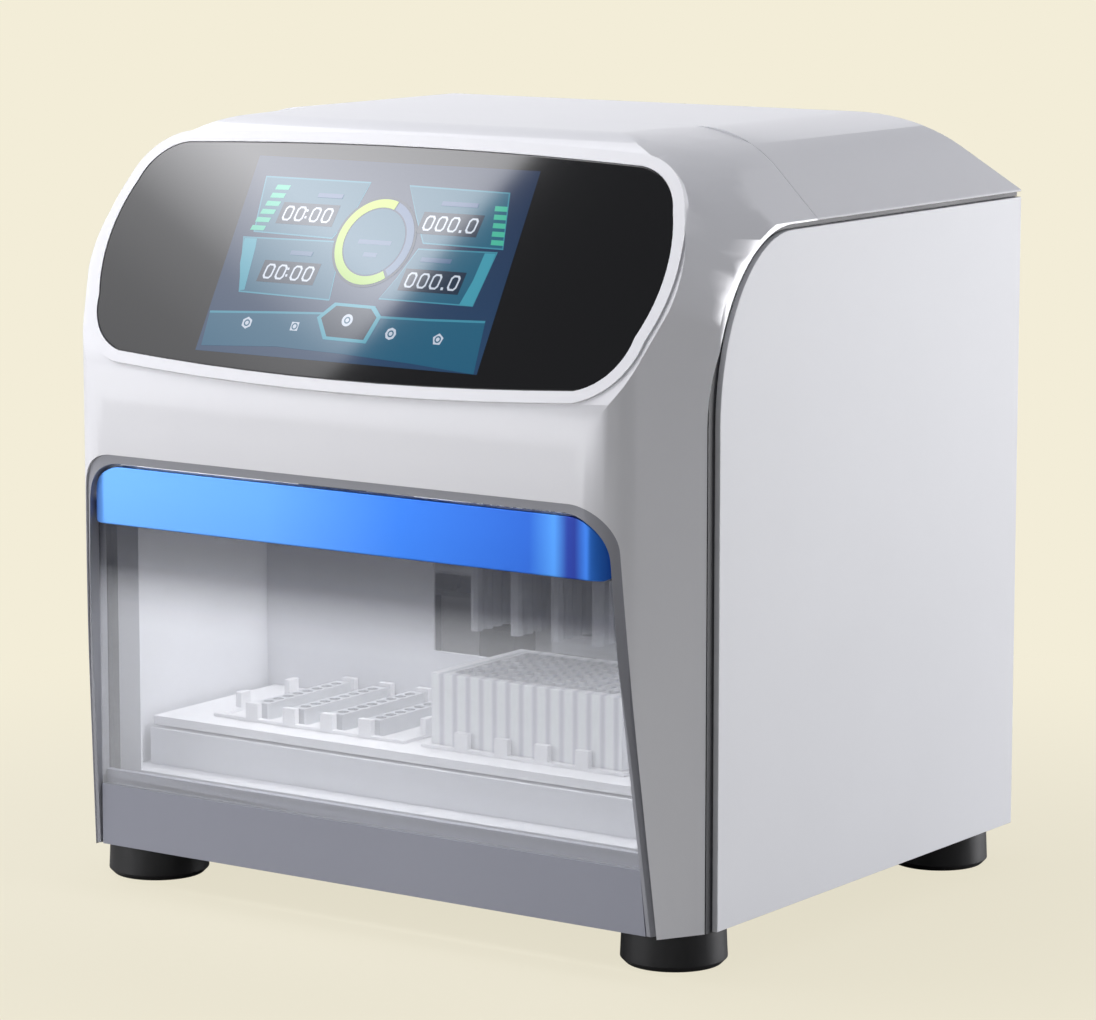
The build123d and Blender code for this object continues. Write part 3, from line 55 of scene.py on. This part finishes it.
def finish(name, low, high, rough, scale, bump=0.0, metallic=0.0, stretch=(1, 1, 1)):
    """A surface whose colour and gloss drift between two tones, with a fine relief."""
    material = bpy.data.materials.new(name)
    material.use_nodes = True
    tree = material.node_tree
    shader = tree.nodes["Principled BSDF"]
    shader.inputs["Metallic"].default_value = metallic
    place = tree.nodes.new("ShaderNodeTexCoord")
    turn = tree.nodes.new("ShaderNodeMapping")
    turn.inputs["Scale"].default_value = stretch
    drift = tree.nodes.new("ShaderNodeTexNoise")
    drift.inputs["Scale"].default_value = scale
    drift.inputs["Detail"].default_value = 5.0
    ramp = tree.nodes.new("ShaderNodeValToRGB")
    ramp.color_ramp.elements[0].position = 0.3
    ramp.color_ramp.elements[0].color = low
    ramp.color_ramp.elements[1].position = 0.7
    ramp.color_ramp.elements[1].color = high
    gloss = tree.nodes.new("ShaderNodeMapRange")
    gloss.inputs["To Min"].default_value = rough[0]
    gloss.inputs["To Max"].default_value = rough[1]
    tree.links.new(place.outputs["Object"], turn.inputs["Vector"])
    tree.links.new(turn.outputs["Vector"], drift.inputs["Vector"])
    tree.links.new(drift.outputs["Fac"], ramp.inputs["Fac"])
    tree.links.new(ramp.outputs["Color"], shader.inputs["Base Color"])
    tree.links.new(drift.outputs["Fac"], gloss.inputs["Value"])
    tree.links.new(gloss.outputs["Result"], shader.inputs["Roughness"])
    if bump:
        grain = tree.nodes.new("ShaderNodeTexNoise")
        grain.inputs["Scale"].default_value = scale * 60
        grain.inputs["Detail"].default_value = 3.0
        relief = tree.nodes.new("ShaderNodeBump")
        relief.inputs["Strength"].default_value = bump
        relief.inputs["Distance"].default_value = 0.0002
        tree.links.new(turn.outputs["Vector"], grain.inputs["Vector"])
        tree.links.new(grain.outputs["Fac"], relief.inputs["Height"])
        tree.links.new(relief.outputs["Normal"], shader.inputs["Normal"])
    return material


def body_of(node):
    return next(body for body, names in frame["record"]["behaviour"]["bodies"].items() if node in names)


def dressed(node, material, edge=0.0, crease=30.0, segments=2):
    """A copy of a node with merged corners, eased edges and smooth curves, in its place."""
    mesh = nodes[node].data.copy()
    shape = bmesh.new()
    shape.from_mesh(mesh)
    bmesh.ops.remove_doubles(shape, verts=shape.verts, dist=1e-6)
    bmesh.ops.dissolve_limit(shape, angle_limit=radians(0.5), verts=shape.verts, edges=shape.edges)
    sharp = [e for e in shape.edges if len(e.link_faces) == 2 and e.calc_face_angle(0) > radians(crease)]
    if edge:
        bmesh.ops.bevel(shape, geom=sharp, offset=edge, segments=segments, profile=0.5,
                        affect="EDGES", clamp_overlap=True, material=-1)
    for face in shape.faces:
        face.smooth = True
    for rim in shape.edges:
        if len(rim.link_faces) == 2:
            rim.smooth = rim.calc_face_angle(0) < radians(crease)
    shape.to_mesh(mesh)
    shape.free()
    mesh.materials.clear()
    mesh.materials.append(material)
    piece = bpy.data.objects.new(node + "_dressed", mesh)
    bpy.context.scene.collection.objects.link(piece)
    level = piece.modifiers.new("level", "WEIGHTED_NORMAL")
    level.keep_sharp = True
    level.weight = 100
    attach(piece, body_of(node))
    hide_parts(node)
    return piece


cover_white = finish("cover_white", tone(232, 232, 236), tone(238, 238, 241), (0.34, 0.40), 4.0, bump=0.05)
dressed("front_cover", cover_white, edge=0.0006, crease=38.0)
dressed("top_cover", cover_white, edge=0.0006, crease=38.0)


# ---- Side panels, trims and side frames --------------------------------------------------
# Powder-coated folded sheet on each flank, set off from the covers by a black trim strip in the groove,
# which is also painted shade for the narrow slot.
# The welded frames behind them are grey powder coat.

def wear(names, material):
    """Gives a finish to nodes whose shape stays as it is."""
    for name in names:
        node = nodes[name]
        node.data.materials.clear()
        node.data.materials.append(material)


panel_white = finish("panel_white", tone(224, 225, 229), tone(229, 230, 234), (0.55, 0.62), 5.0, bump=0.06)
for flank in ("side_panel_left", "side_panel_right"):
    dressed(flank, panel_white, edge=0.0008, crease=40.0)
# The black strip lining each groove is a trim and also painted shade for the narrow slot between cover and
# panel.
trim_black = finish("trim_black", tone(38, 38, 42), tone(52, 52, 56), (0.5, 0.6), 30.0, bump=0.1)
wear(["edge_trims"], trim_black)
frame_grey = finish("frame_grey", tone(118, 120, 124), tone(128, 130, 134), (0.5, 0.6), 20.0, bump=0.1)
wear(["side_frames"], frame_grey)


# ---- Base, feet and rear panel -------------------------------------------------------
# Zinc-plated base sheet on four moulded rubber feet, each held by a steel screw.
# The rear panel is powder-coated like the flanks.

zinc = finish("zinc", tone(150, 152, 155), tone(176, 178, 180), (0.32, 0.45), 60.0, metallic=0.9)
wear(["base_plate"], zinc)
steel = finish("ground_steel", tone(172, 174, 178), tone(196, 198, 200), (0.22, 0.32), 80.0, metallic=1.0)
wear(["foot_screws"], steel)
foot_rubber = finish("foot_rubber", tone(16, 16, 18), tone(30, 30, 33), (0.42, 0.55), 40.0, bump=0.15)
dressed("feet", foot_rubber, edge=0.0012, crease=40.0)
wear(["rear_panel"], panel_white)


# ---- Touch panel ---------------------------------------------------------------------
# Black-backed glass bonded into the brow, over a bracket and the screen module.

glass_black = finish("glass_black", tone(2, 2, 4), tone(5, 5, 7), (0.04, 0.07), 2.0)
dressed("display_glass", glass_black, edge=0.0006, crease=40.0)
black_plastic = finish("black_plastic", tone(24, 24, 26), tone(34, 34, 36), (0.45, 0.55), 50.0, bump=0.1)
wear(["display_bracket", "lcd_module"], black_plastic)


# ---- Screen image --------------------------------------------------------------------
# The lit home page: four read-out tiles with noughts, two level columns, a progress ring
# and a row of keys. Its layers lie a hair above each other on the glass.

def lit(name, low, high):
    """A glowing layer under gloss, whose colour runs up the screen between two tones."""
    material = finish(name, low, high, (0.04, 0.07), 2.0)
    tree = material.node_tree
    shader = tree.nodes["Principled BSDF"]
    place = tree.nodes.new("ShaderNodeTexCoord")
    split = tree.nodes.new("ShaderNodeSeparateXYZ")
    climb = tree.nodes.new("ShaderNodeMapRange")
    climb.inputs["From Min"].default_value = 0.31
    climb.inputs["From Max"].default_value = 0.41
    ramp = tree.nodes.new("ShaderNodeValToRGB")
    ramp.color_ramp.elements[0].color = low
    ramp.color_ramp.elements[1].color = high
    tree.links.new(place.outputs["Object"], split.inputs["Vector"])
    tree.links.new(split.outputs["Z"], climb.inputs["Value"])
    tree.links.new(climb.outputs["Result"], ramp.inputs["Fac"])
    tree.links.new(ramp.outputs["Color"], shader.inputs["Emission Color"])
    shader.inputs["Emission Strength"].default_value = 1.0
    for link in list(shader.inputs["Base Color"].links):
        tree.links.remove(link)
    shader.inputs["Base Color"].default_value = tone(6, 8, 10)
    return material


inks = [
    lit("page_blue", tone(30, 62, 96), tone(24, 44, 76)),
    lit("tile_teal", tone(26, 88, 118), tone(36, 96, 120)),
    lit("tile_edge", tone(62, 140, 164), tone(58, 132, 154)),
    lit("bar_green", tone(58, 164, 140), tone(72, 184, 156)),
    lit("ring_lime", tone(104, 160, 82), tone(186, 204, 74)),
    lit("ring_slate", tone(72, 108, 136), tone(84, 104, 142)),
    lit("figure_white", tone(186, 196, 212), tone(206, 214, 226)),
    lit("shade_navy", tone(16, 40, 62), tone(20, 40, 64)),
    lit("strip_teal", tone(60, 146, 168), tone(64, 150, 170)),
]
BLUE, TEAL, EDGE, GREEN, LIME, SLATE, WHITE, NAVY, STRIP = range(9)
lean = radians(29.6)
glass_place = Matrix((
    (1, 0, 0, -0.005),
    (0, sin(lean), -cos(lean), -0.14667 - 0.002 * sin(lean)),
    (0, cos(lean), sin(lean), 0.366 - 0.002 * cos(lean)),
    (0, 0, 0, 1),
))
page = bmesh.new()


def patch(points, layer, ink):
    """A flat shape on the glass, drawn in millimetres from the screen's middle."""
    lift = 0.00104 + layer * 0.00003
    ring = [page.verts.new(glass_place @ Vector((x / 1000, y / 1000, lift))) for x, y in points]
    face = page.faces.new(ring)
    face.material_index = ink
    if face.normal.length == 0:
        face.normal_update()
    if face.normal.y > 0:
        face.normal_flip()


def band(cx, cy, inner, outer, start, end, layer, ink):
    """An arc of a ring between two angles in degrees."""
    count = max(4, int(abs(end - start) / 6))
    turns = [radians(start + (end - start) * i / count) for i in range(count + 1)]
    for a, b in zip(turns, turns[1:]):
        corners = ((inner, a), (outer, a), (outer, b), (inner, b))
        patch([(cx + r * cos(t), cy + r * sin(t)) for r, t in corners], layer, ink)


def nought(x, y, wide, high, layer, ink, stroke=1.1):
    """A slanted figure 0 with cut corners."""
    outer = [(0, 0.18), (0.22, 0), (0.78, 0), (1, 0.18), (1, 0.82), (0.78, 1), (0.22, 1), (0, 0.82)]
    def at(u, v, inset):
        px = inset + (wide - 2 * inset) * u
        py = inset + (high - 2 * inset) * v
        return (x + px + py * 0.16, y + py)
    for i in range(8):
        (u0, v0), (u1, v1) = outer[i], outer[(i + 1) % 8]
        patch([at(u0, v0, 0), at(u1, v1, 0), at(u1, v1, stroke), at(u0, v0, stroke)], layer, ink)


patch([(-95, 59), (95, 59), (95, -59), (-95, -59)], 0, BLUE)
for tile in (
    [(-86, 47), (-13, 47), (-18, 27), (-27, 12), (-82, 13)],
    [(-88, 10), (-25, 11), (-17.5, -5), (-15.4, -24), (-78.5, -23)],
    [(13, 46.5), (80, 45.6), (87, 12.4), (34, 12.8), (24, 28)],
    [(32, 10), (84, 11), (79, -21), (16.6, -21), (24, -8)],
):
    middle = (sum(x for x, _ in tile) / len(tile), sum(y for _, y in tile) / len(tile))
    patch(tile, 1, EDGE)
    patch([(x + (middle[0] - x) * 0.022, y + (middle[1] - y) * 0.05) for x, y in tile], 2, TEAL)
for i in range(6):
    x, y = -80 + i * 1.6, 15.6 + i * 5.0
    patch([(x - 4.8, y - 1.5), (x + 4.6, y - 1.3), (x + 5.4, y + 1.5), (x - 4.0, y + 1.5)], 3, GREEN)
for i in range(5):
    x, y = 82.6 - i * 1.1, 16.2 + i * 4.9
    patch([(x - 4.6, y - 1.4), (x + 3.6, y - 1.4), (x + 3.0, y + 1.5), (x - 5.0, y + 1.5)], 3, GREEN)
patch([(-86.6, 9), (-78, 9.2), (-77, 4), (-75, -21.5), (-78, -22), (-84, -6)], 3, STRIP)
patch([(83, 10), (76, 9.8), (74, -6), (70, -20.4), (78.4, -20.6), (81, -6)], 3, STRIP)
band(1.8, 12, 0, 27, 0, 360, 3, NAVY)
band(1.8, 12, 0, 25.6, 0, 360, 4, BLUE)
band(1.8, 12, 0, 19.6, 0, 360, 5, TEAL)
band(1.8, 12, 20.6, 25.2, -50, 70, 5, SLATE)
band(1.8, 12, 20.4, 25.4, 72, 306, 6, LIME)
for x, y in ((-66, 21), (-66, -14)):
    patch([(x - 3, y - 2), (x + 36, y - 2), (x + 37.5, y + 11), (x - 1.5, y + 11)], 3, NAVY)
    for step in (0, 8.2, 18.6, 26.8):
        nought(x + step, y, 6.2, 9, 4, WHITE)
    for low in (y + 2.0, y + 6.0):
        patch([(x + 15.6, low), (x + 17.0, low), (x + 17.0, low + 1.4), (x + 15.6, low + 1.4)], 4, WHITE)
for x, y in ((30, 20.5), (30, -13)):
    patch([(x - 3, y - 2), (x + 37, y - 2), (x + 38.5, y + 11), (x - 1.5, y + 11)], 3, NAVY)
    for step in (0, 8.2, 16.4, 28.4):
        nought(x + step, y, 6.2, 9, 4, WHITE)
    patch([(x + 24.8, y), (x + 26.4, y), (x + 26.4, y + 1.6), (x + 24.8, y + 1.6)], 4, WHITE)
for x, y, wide in ((-46, 36, 17), (-52, 1, 15), (38, 35.6, 24), (36, 2.4, 20), (-9, 10.4, 22), (-3, 3, 9)):
    patch([(x, y), (x + wide, y), (x + wide + 0.4, y + 2.6), (x + 0.4, y + 2.6)], 6, SLATE)
upper = [(-93.6, -35.3), (-55, -33), (-17.6, -31), (17, -30.6), (52, -30), (90, -28.5)]
lower = [(-92, -56), (-41, -53), (4, -54), (50, -56), (93, -59)]
for i in range(5):
    low = [lower[min(i, 4)], lower[min(i + 1, 4)]] if i < 4 else [lower[4]]
    patch([upper[i], upper[i + 1], *reversed(low)], 3, TEAL)
    (ax, ay), (bx, by) = upper[i], upper[i + 1]
    patch([(ax, ay), (bx, by), (bx, by - 1.3), (ax, ay - 1.3)], 4, EDGE)
tab = [(-9.4, -26.6), (14, -26.8), (19.4, -31.6), (15.4, -45), (-9.6, -44.7), (-17, -34.4)]
patch([(x * 1.16 - 0.2, (y + 35.5) * 1.2 - 35.5) for x, y in tab], 5, STRIP)
patch(tab, 6, NAVY)
for number, (x, y) in enumerate(((-65.7, -40.7), (-32.8, -40.5), (0.8, -34.5), (32, -40.2), (63.5, -41.2))):
    sides = (6, 4, 24, 8, 5)[number]
    turn = pi / 4 if sides == 4 else pi / 2
    patch([(x + 3.6 * cos(turn + 2 * pi * i / sides), y + 3.6 * sin(turn + 2 * pi * i / sides))
           for i in range(sides)], 7, WHITE)
    band(x, y, 1.2, 2.0, 0, 360, 8, TEAL)
screen_mesh = bpy.data.meshes.new("screen_image")
page.to_mesh(screen_mesh)
page.free()
for ink in inks:
    screen_mesh.materials.append(ink)
screen = bpy.data.objects.new("screen_image", screen_mesh)
bpy.context.scene.collection.objects.link(screen)
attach(screen, "chassis")


# ---- Door ----------------------------------------------------------------------------
# Clear pane on a grey lower rail, with a blue anodised pull bar along its top. It drops
# forward on two steel pins and is held shut by magnets.

def clear_pane(name, tint, rough):
    """A clear sheet: a thin see-through layer with a glossy surface."""
    material = finish(name, tint, tint, (rough, rough + 0.02), 3.0)
    shader = material.node_tree.nodes["Principled BSDF"]
    shader.inputs["Alpha"].default_value = 0.14
    return material


pane_clear = clear_pane("pane_clear", tone(228, 232, 238), 0.05)
# Above a pale, partly clear film the pane turns dark grey and less clear towards its top: painted shade
# under the handle.
tree = pane_clear.node_tree
place = tree.nodes.new("ShaderNodeTexCoord")
split = tree.nodes.new("ShaderNodeSeparateXYZ")
painted_shade_rise = tree.nodes.new("ShaderNodeMapRange")
painted_shade_rise.interpolation_type = "SMOOTHSTEP"
painted_shade_rise.inputs["From Min"].default_value = 0.150
painted_shade_rise.inputs["From Max"].default_value = 0.216
painted_shade_rise.inputs["To Min"].default_value = 0.27
painted_shade_rise.inputs["To Max"].default_value = 0.66
painted_shade_tint = tree.nodes.new("ShaderNodeValToRGB")
painted_shade_tint.color_ramp.elements[0].position = 0.27
painted_shade_tint.color_ramp.elements[0].color = tone(240, 242, 246)
painted_shade_tint.color_ramp.elements[1].position = 0.5
painted_shade_tint.color_ramp.elements[1].color = tone(84, 86, 94)
tree.links.new(place.outputs["Object"], split.inputs["Vector"])
tree.links.new(split.outputs["Z"], painted_shade_rise.inputs["Value"])
tree.links.new(painted_shade_rise.outputs["Result"], tree.nodes["Principled BSDF"].inputs["Alpha"])
tree.links.new(painted_shade_rise.outputs["Result"], painted_shade_tint.inputs["Fac"])
tree.links.new(painted_shade_tint.outputs["Color"], tree.nodes["Principled BSDF"].inputs["Base Color"])
dressed("door_window", pane_clear, edge=0.0004, crease=40.0)
rail_grey = finish("rail_grey", tone(150, 152, 164), tone(156, 158, 170), (0.3, 0.36), 4.0, bump=0.04)
dressed("door_rail", rail_grey, edge=0.0005, crease=40.0)
bezel_grey = finish("bezel_grey", tone(150, 151, 158), tone(158, 159, 166), (0.4, 0.46), 6.0, bump=0.04)
dressed("door_bezel", bezel_grey, edge=0.0004, crease=40.0)
handle_blue = finish("handle_blue", tone(30, 104, 214), tone(36, 112, 222), (0.26, 0.32), 6.0, metallic=0.5)
# The bar's blue runs along its length as painted reflection: pale blue at the left end, deeper blue to the
# right, a painted highlight band, then a painted dark shading line where the right end turns back.
tree = handle_blue.node_tree
place = tree.nodes.new("ShaderNodeTexCoord")
split = tree.nodes.new("ShaderNodeSeparateXYZ")
along = tree.nodes.new("ShaderNodeMapRange")
along.inputs["From Min"].default_value = -0.176
along.inputs["From Max"].default_value = 0.176
painted_reflection = tree.nodes.new("ShaderNodeValToRGB")
painted_reflection.color_ramp.elements[0].color = tone(22, 84, 196)
painted_reflection.color_ramp.elements[1].color = tone(24, 96, 204)
for stop, colour in (
    (0.035, (104, 172, 255)), (0.36, (92, 162, 252)), (0.62, (44, 124, 234)), (0.86, (28, 102, 214)),
    (0.905, (78, 158, 248)), (0.928, (16, 56, 164)), (0.942, (14, 50, 154)), (0.962, (50, 128, 234)),
):
    painted_reflection.color_ramp.elements.new(stop).color = tone(*colour)
tree.links.new(place.outputs["Object"], split.inputs["Vector"])
tree.links.new(split.outputs["X"], along.inputs["Value"])
tree.links.new(along.outputs["Result"], painted_reflection.inputs["Fac"])
tree.links.new(painted_reflection.outputs["Color"], tree.nodes["Principled BSDF"].inputs["Base Color"])
dressed("door_handle", handle_blue, edge=0.0016, crease=40.0, segments=4)
wear(["door_hinge_pins", "door_magnets"], steel)
wear(["door_hinge_brackets", "door_catches"], zinc)


# ---- Chamber and deck ----------------------------------------------------------------
# White powder-coated liner and bulkhead around a white deck on a folded riser.

liner_white = finish("liner_white", tone(216, 217, 222), tone(222, 223, 228), (0.45, 0.52), 8.0, bump=0.06)
wear(["chamber_liner", "chamber_rear_wall", "deck_riser"], liner_white)
deck_white = finish("deck_white", tone(232, 232, 236), tone(238, 238, 241), (0.4, 0.48), 8.0, bump=0.05)
wear(["deck_plate"], deck_white)
nest_white = finish("nest_white", tone(230, 230, 233), tone(236, 236, 239), (0.42, 0.5), 20.0, bump=0.05)
dressed("plate_nest_left", nest_white, edge=0.0004)
dressed("plate_nest_right", nest_white, edge=0.0004)
aluminium = finish("aluminium", tone(198, 200, 204), tone(212, 214, 218), (0.42, 0.52), 50.0,
                   metallic=0.35, stretch=(1, 6, 6))
strip_pale = finish("strip_pale", tone(196, 198, 202), tone(212, 214, 218), (0.36, 0.46), 50.0,
                    metallic=0.25)
wear(["heater_block_left", "heater_block_right"], strip_pale)


# ---- Deep-well plate and comb --------------------------------------------------------
# Natural polypropylene mouldings: slightly cloudy, with a soft sheen.

plate_white = finish("plate_white", tone(226, 227, 231), tone(236, 237, 240), (0.3, 0.38), 12.0)
tree = plate_white.node_tree
place = tree.nodes.new("ShaderNodeTexCoord")
wells = tree.nodes.new("ShaderNodeTexWave")
wells.inputs["Scale"].default_value = 2 * pi / (20 * 0.009)
wells.inputs["Phase Offset"].default_value = 0.9
tint = tree.nodes.new("ShaderNodeValToRGB")
tint.color_ramp.elements[0].color = tone(196, 198, 204)
tint.color_ramp.elements[1].position = 0.55
tint.color_ramp.elements[1].color = tone(236, 237, 240)
tree.links.new(place.outputs["Object"], wells.inputs["Vector"])
tree.links.new(wells.outputs["Fac"], tint.inputs["Fac"])
tree.links.new(tint.outputs["Color"], tree.nodes["Principled BSDF"].inputs["Base Color"])
dressed("deep_well_plate", plate_white, edge=0.0003)
comb_white = finish("comb_white", tone(214, 216, 222), tone(226, 228, 233), (0.28, 0.36), 12.0)
wear(["tip_comb"], comb_white)


# ---- Lamp ----------------------------------------------------------------------------
# A clear quartz tube between two ceramic sockets on the left wall.

lamp_glass = finish("lamp_glass", tone(206, 212, 226), tone(216, 222, 234), (0.06, 0.1), 10.0)
wear(["uv_lamp"], lamp_glass)
socket_white = finish("socket_white", tone(220, 220, 216), tone(228, 228, 224), (0.5, 0.6), 30.0)
wear(["uv_lamp_sockets"], socket_white)


# ---- Gantry and head -----------------------------------------------------------------
# Machined aluminium beams, carriage and lift on ground steel rails, shafts and screws,
# driven by grey steel-cased stepper motors.

wear(["gantry_beams", "x_carriage", "lift_frame", "comb_carrier", "magnet_bridge",
      "magnet_plate", "x_screw_bearings"], aluminium)
wear(["x_rails", "x_bearings", "x_lead_screw", "lift_shafts", "lift_lead_screw", "magnet_shafts",
      "magnet_lead_screw", "magnet_rods"], steel)
motor_grey = finish("motor_grey", tone(112, 114, 118), tone(128, 130, 134), (0.36, 0.46), 40.0,
                    bump=0.05)
wear(["x_motor", "lift_motor", "magnet_motor"], motor_grey)


# ---- Electronics and rear fittings ---------------------------------------------------
# Green control board and a plated supply on the base; black mouldings in the rear panel.

board_green = finish("board_green", tone(20, 84, 48), tone(30, 104, 60), (0.4, 0.5), 120.0)
wear(["main_board"], board_green)
wear(["power_supply", "usb_port"], zinc)
wear(["power_inlet", "power_switch_frame", "power_switch_rocker", "fan_frame", "fan_rotor"], black_plastic)
wear(["fan_guard"], steel)


# ---- Studio --------------------------------------------------------------------------
# Plain pale floor that fades into the backdrop, four white cards, two lamps inside the
# cabinet and a weak sky. The cards light front, roof and flank and leave the facets dark.

floor_mesh = bpy.data.meshes.new("floor")
sheet = bmesh.new()
bmesh.ops.create_grid(sheet, x_segments=1, y_segments=1, size=40.0)
sheet.to_mesh(floor_mesh)
sheet.free()
floor = bpy.data.objects.new("floor", floor_mesh)
bpy.context.scene.collection.objects.link(floor)
paper = finish("paper", tone(176, 174, 168), tone(182, 180, 174), (0.85, 0.9), 1.0)
tree = paper.node_tree
place = tree.nodes.new("ShaderNodeTexCoord")
reach = tree.nodes.new("ShaderNodeVectorMath")
reach.operation = "LENGTH"
fade = tree.nodes.new("ShaderNodeMapRange")
fade.interpolation_type = "SMOOTHSTEP"
fade.inputs["From Min"].default_value = 0.22
fade.inputs["From Max"].default_value = 0.75
fade.inputs["To Min"].default_value = 0.84
ray = tree.nodes.new("ShaderNodeLightPath")
share = tree.nodes.new("ShaderNodeMath")
share.operation = "MULTIPLY"
even = tree.nodes.new("ShaderNodeEmission")
even.inputs["Color"].default_value = tone(243, 237, 216)
blend = tree.nodes.new("ShaderNodeMixShader")
tree.links.new(place.outputs["Object"], reach.inputs[0])
tree.links.new(reach.outputs["Value"], fade.inputs["Value"])
tree.links.new(fade.outputs["Result"], share.inputs[0])
tree.links.new(ray.outputs["Is Camera Ray"], share.inputs[1])
tree.links.new(share.outputs["Value"], blend.inputs["Fac"])
tree.links.new(tree.nodes["Principled BSDF"].outputs["BSDF"], blend.inputs[1])
tree.links.new(even.outputs["Emission"], blend.inputs[2])
tree.links.new(blend.outputs["Shader"], tree.nodes["Material Output"].inputs["Surface"])
floor.data.materials.append(paper)


def card(name, centre, across, up, wide, tall, levels):
    """A glowing sheet that the camera doesn't see, with its strength at shares of its height."""
    mesh = bpy.data.meshes.new(name)
    sheet = bmesh.new()
    bmesh.ops.create_grid(sheet, x_segments=1, y_segments=1, size=1.0)
    sheet.to_mesh(mesh)
    sheet.free()
    material = bpy.data.materials.new(name)
    material.use_nodes = True
    tree = material.node_tree
    tree.nodes.remove(tree.nodes["Principled BSDF"])
    place = tree.nodes.new("ShaderNodeTexCoord")
    split = tree.nodes.new("ShaderNodeSeparateXYZ")
    rise = tree.nodes.new("ShaderNodeMapRange")
    rise.inputs["From Min"].default_value = -1.0
    peak = max(strength for share, strength in levels)
    fall = tree.nodes.new("ShaderNodeValToRGB")
    stops = fall.color_ramp.elements
    for share, strength in levels:
        ends = {0.0: stops[0], 1.0: stops[-1]}
        stop = ends[share] if share in ends else stops.new(share)
        stop.color = (strength / peak, strength / peak, strength / peak, 1)
    boost = tree.nodes.new("ShaderNodeMath")
    boost.operation = "MULTIPLY"
    boost.inputs[1].default_value = peak
    glow = tree.nodes.new("ShaderNodeEmission")
    glow.inputs["Color"].default_value = tone(252, 252, 255)
    tree.links.new(place.outputs["Object"], split.inputs["Vector"])
    tree.links.new(split.outputs["Y"], rise.inputs["Value"])
    tree.links.new(rise.outputs["Result"], fall.inputs["Fac"])
    tree.links.new(fall.outputs["Color"], boost.inputs[0])
    tree.links.new(boost.outputs["Value"], glow.inputs["Strength"])
    tree.links.new(glow.outputs["Emission"], tree.nodes["Material Output"].inputs["Surface"])
    mesh.materials.append(material)
    holder = bpy.data.objects.new(name, mesh)
    across, up = Vector(across).normalized(), Vector(up).normalized()
    turn = Matrix((across, up, across.cross(up))).transposed().to_4x4()
    holder.matrix_world = Matrix.Translation(centre) @ turn @ Matrix.Diagonal((wide / 2, tall / 2, 1, 1))
    holder.visible_camera = False
    bpy.context.scene.collection.objects.link(holder)


card("key_card", (-1.550, -0.504, 1.820), (-0.619, 0.785, 0), (0.487, 0.384, 0.784), 1.50, 1.45,
     ((0.0, 1.2), (0.22, 2.6), (0.27, 3.6), (0.34, 11.5), (0.46, 8.0), (1.0, 5.8)))
card("front_card", (-1.25, -1.75, 0.42), (-0.81, 0.58, 0), (0, 0, 1), 1.3, 0.8,
     ((0.0, 4.0), (1.0, 6.8)))
card("flank_card", (1.85, 2.30, 0.30), (-0.78, 0.63, 0), (0, 0, 1), 1.6, 0.58,
     ((0.0, 23.0), (1.0, 20.0)))
card("roof_card", (-1.40, 1.90, 1.15), (-0.80, -0.60, 0), (0.26, -0.35, 0.90), 1.8, 1.5,
     ((0.0, 1.2), (1.0, 1.2)))

for name, place, size, power, pitch in (
    ("chamber_lamp", (0.05, -0.100, 0.325), (0.20, 0.05), 0.60, 4),
    ("bay_lamp", (0.03, 0.005, 0.395), (0.25, 0.03), 1.10, -8),
):
    lamp = bpy.data.lights.new(name, "AREA")
    lamp.shape = "RECTANGLE"
    lamp.size, lamp.size_y = size
    lamp.energy = power
    holder = bpy.data.objects.new(name, lamp)
    holder.location = place
    holder.rotation_euler = (radians(pitch), 0, 0)
    bpy.context.scene.collection.objects.link(holder)

world = bpy.data.worlds.new("sky")
world.use_nodes = True
bpy.context.scene.world = world
sky = world.node_tree
light = sky.nodes["Background"]
light.inputs["Color"].default_value = tone(236, 238, 244)
light.inputs["Strength"].default_value = 0.34
backdrop = sky.nodes.new("ShaderNodeBackground")
backdrop.inputs["Color"].default_value = tone(243, 237, 216)
backdrop.inputs["Strength"].default_value = 1.0
ray = sky.nodes.new("ShaderNodeLightPath")
seen = sky.nodes.new("ShaderNodeMixShader")
sky.links.new(ray.outputs["Is Camera Ray"], seen.inputs["Fac"])
sky.links.new(light.outputs["Background"], seen.inputs[1])
sky.links.new(backdrop.outputs["Background"], seen.inputs[2])
sky.links.new(seen.outputs["Shader"], sky.nodes["World Output"].inputs["Surface"])

camera = bpy.data.cameras.new("camera")
camera.lens = 146.67
camera.sensor_width = 36.0
eye = bpy.data.objects.new("camera", camera)
eye.location = (1.4508, -2.0525, 0.6061)
eye.rotation_euler = (radians(90 - 8.934), 0, radians(35.05))
bpy.context.scene.collection.objects.link(eye)
bpy.context.scene.camera = eye
bpy.context.scene.view_settings.view_transform = "Standard"
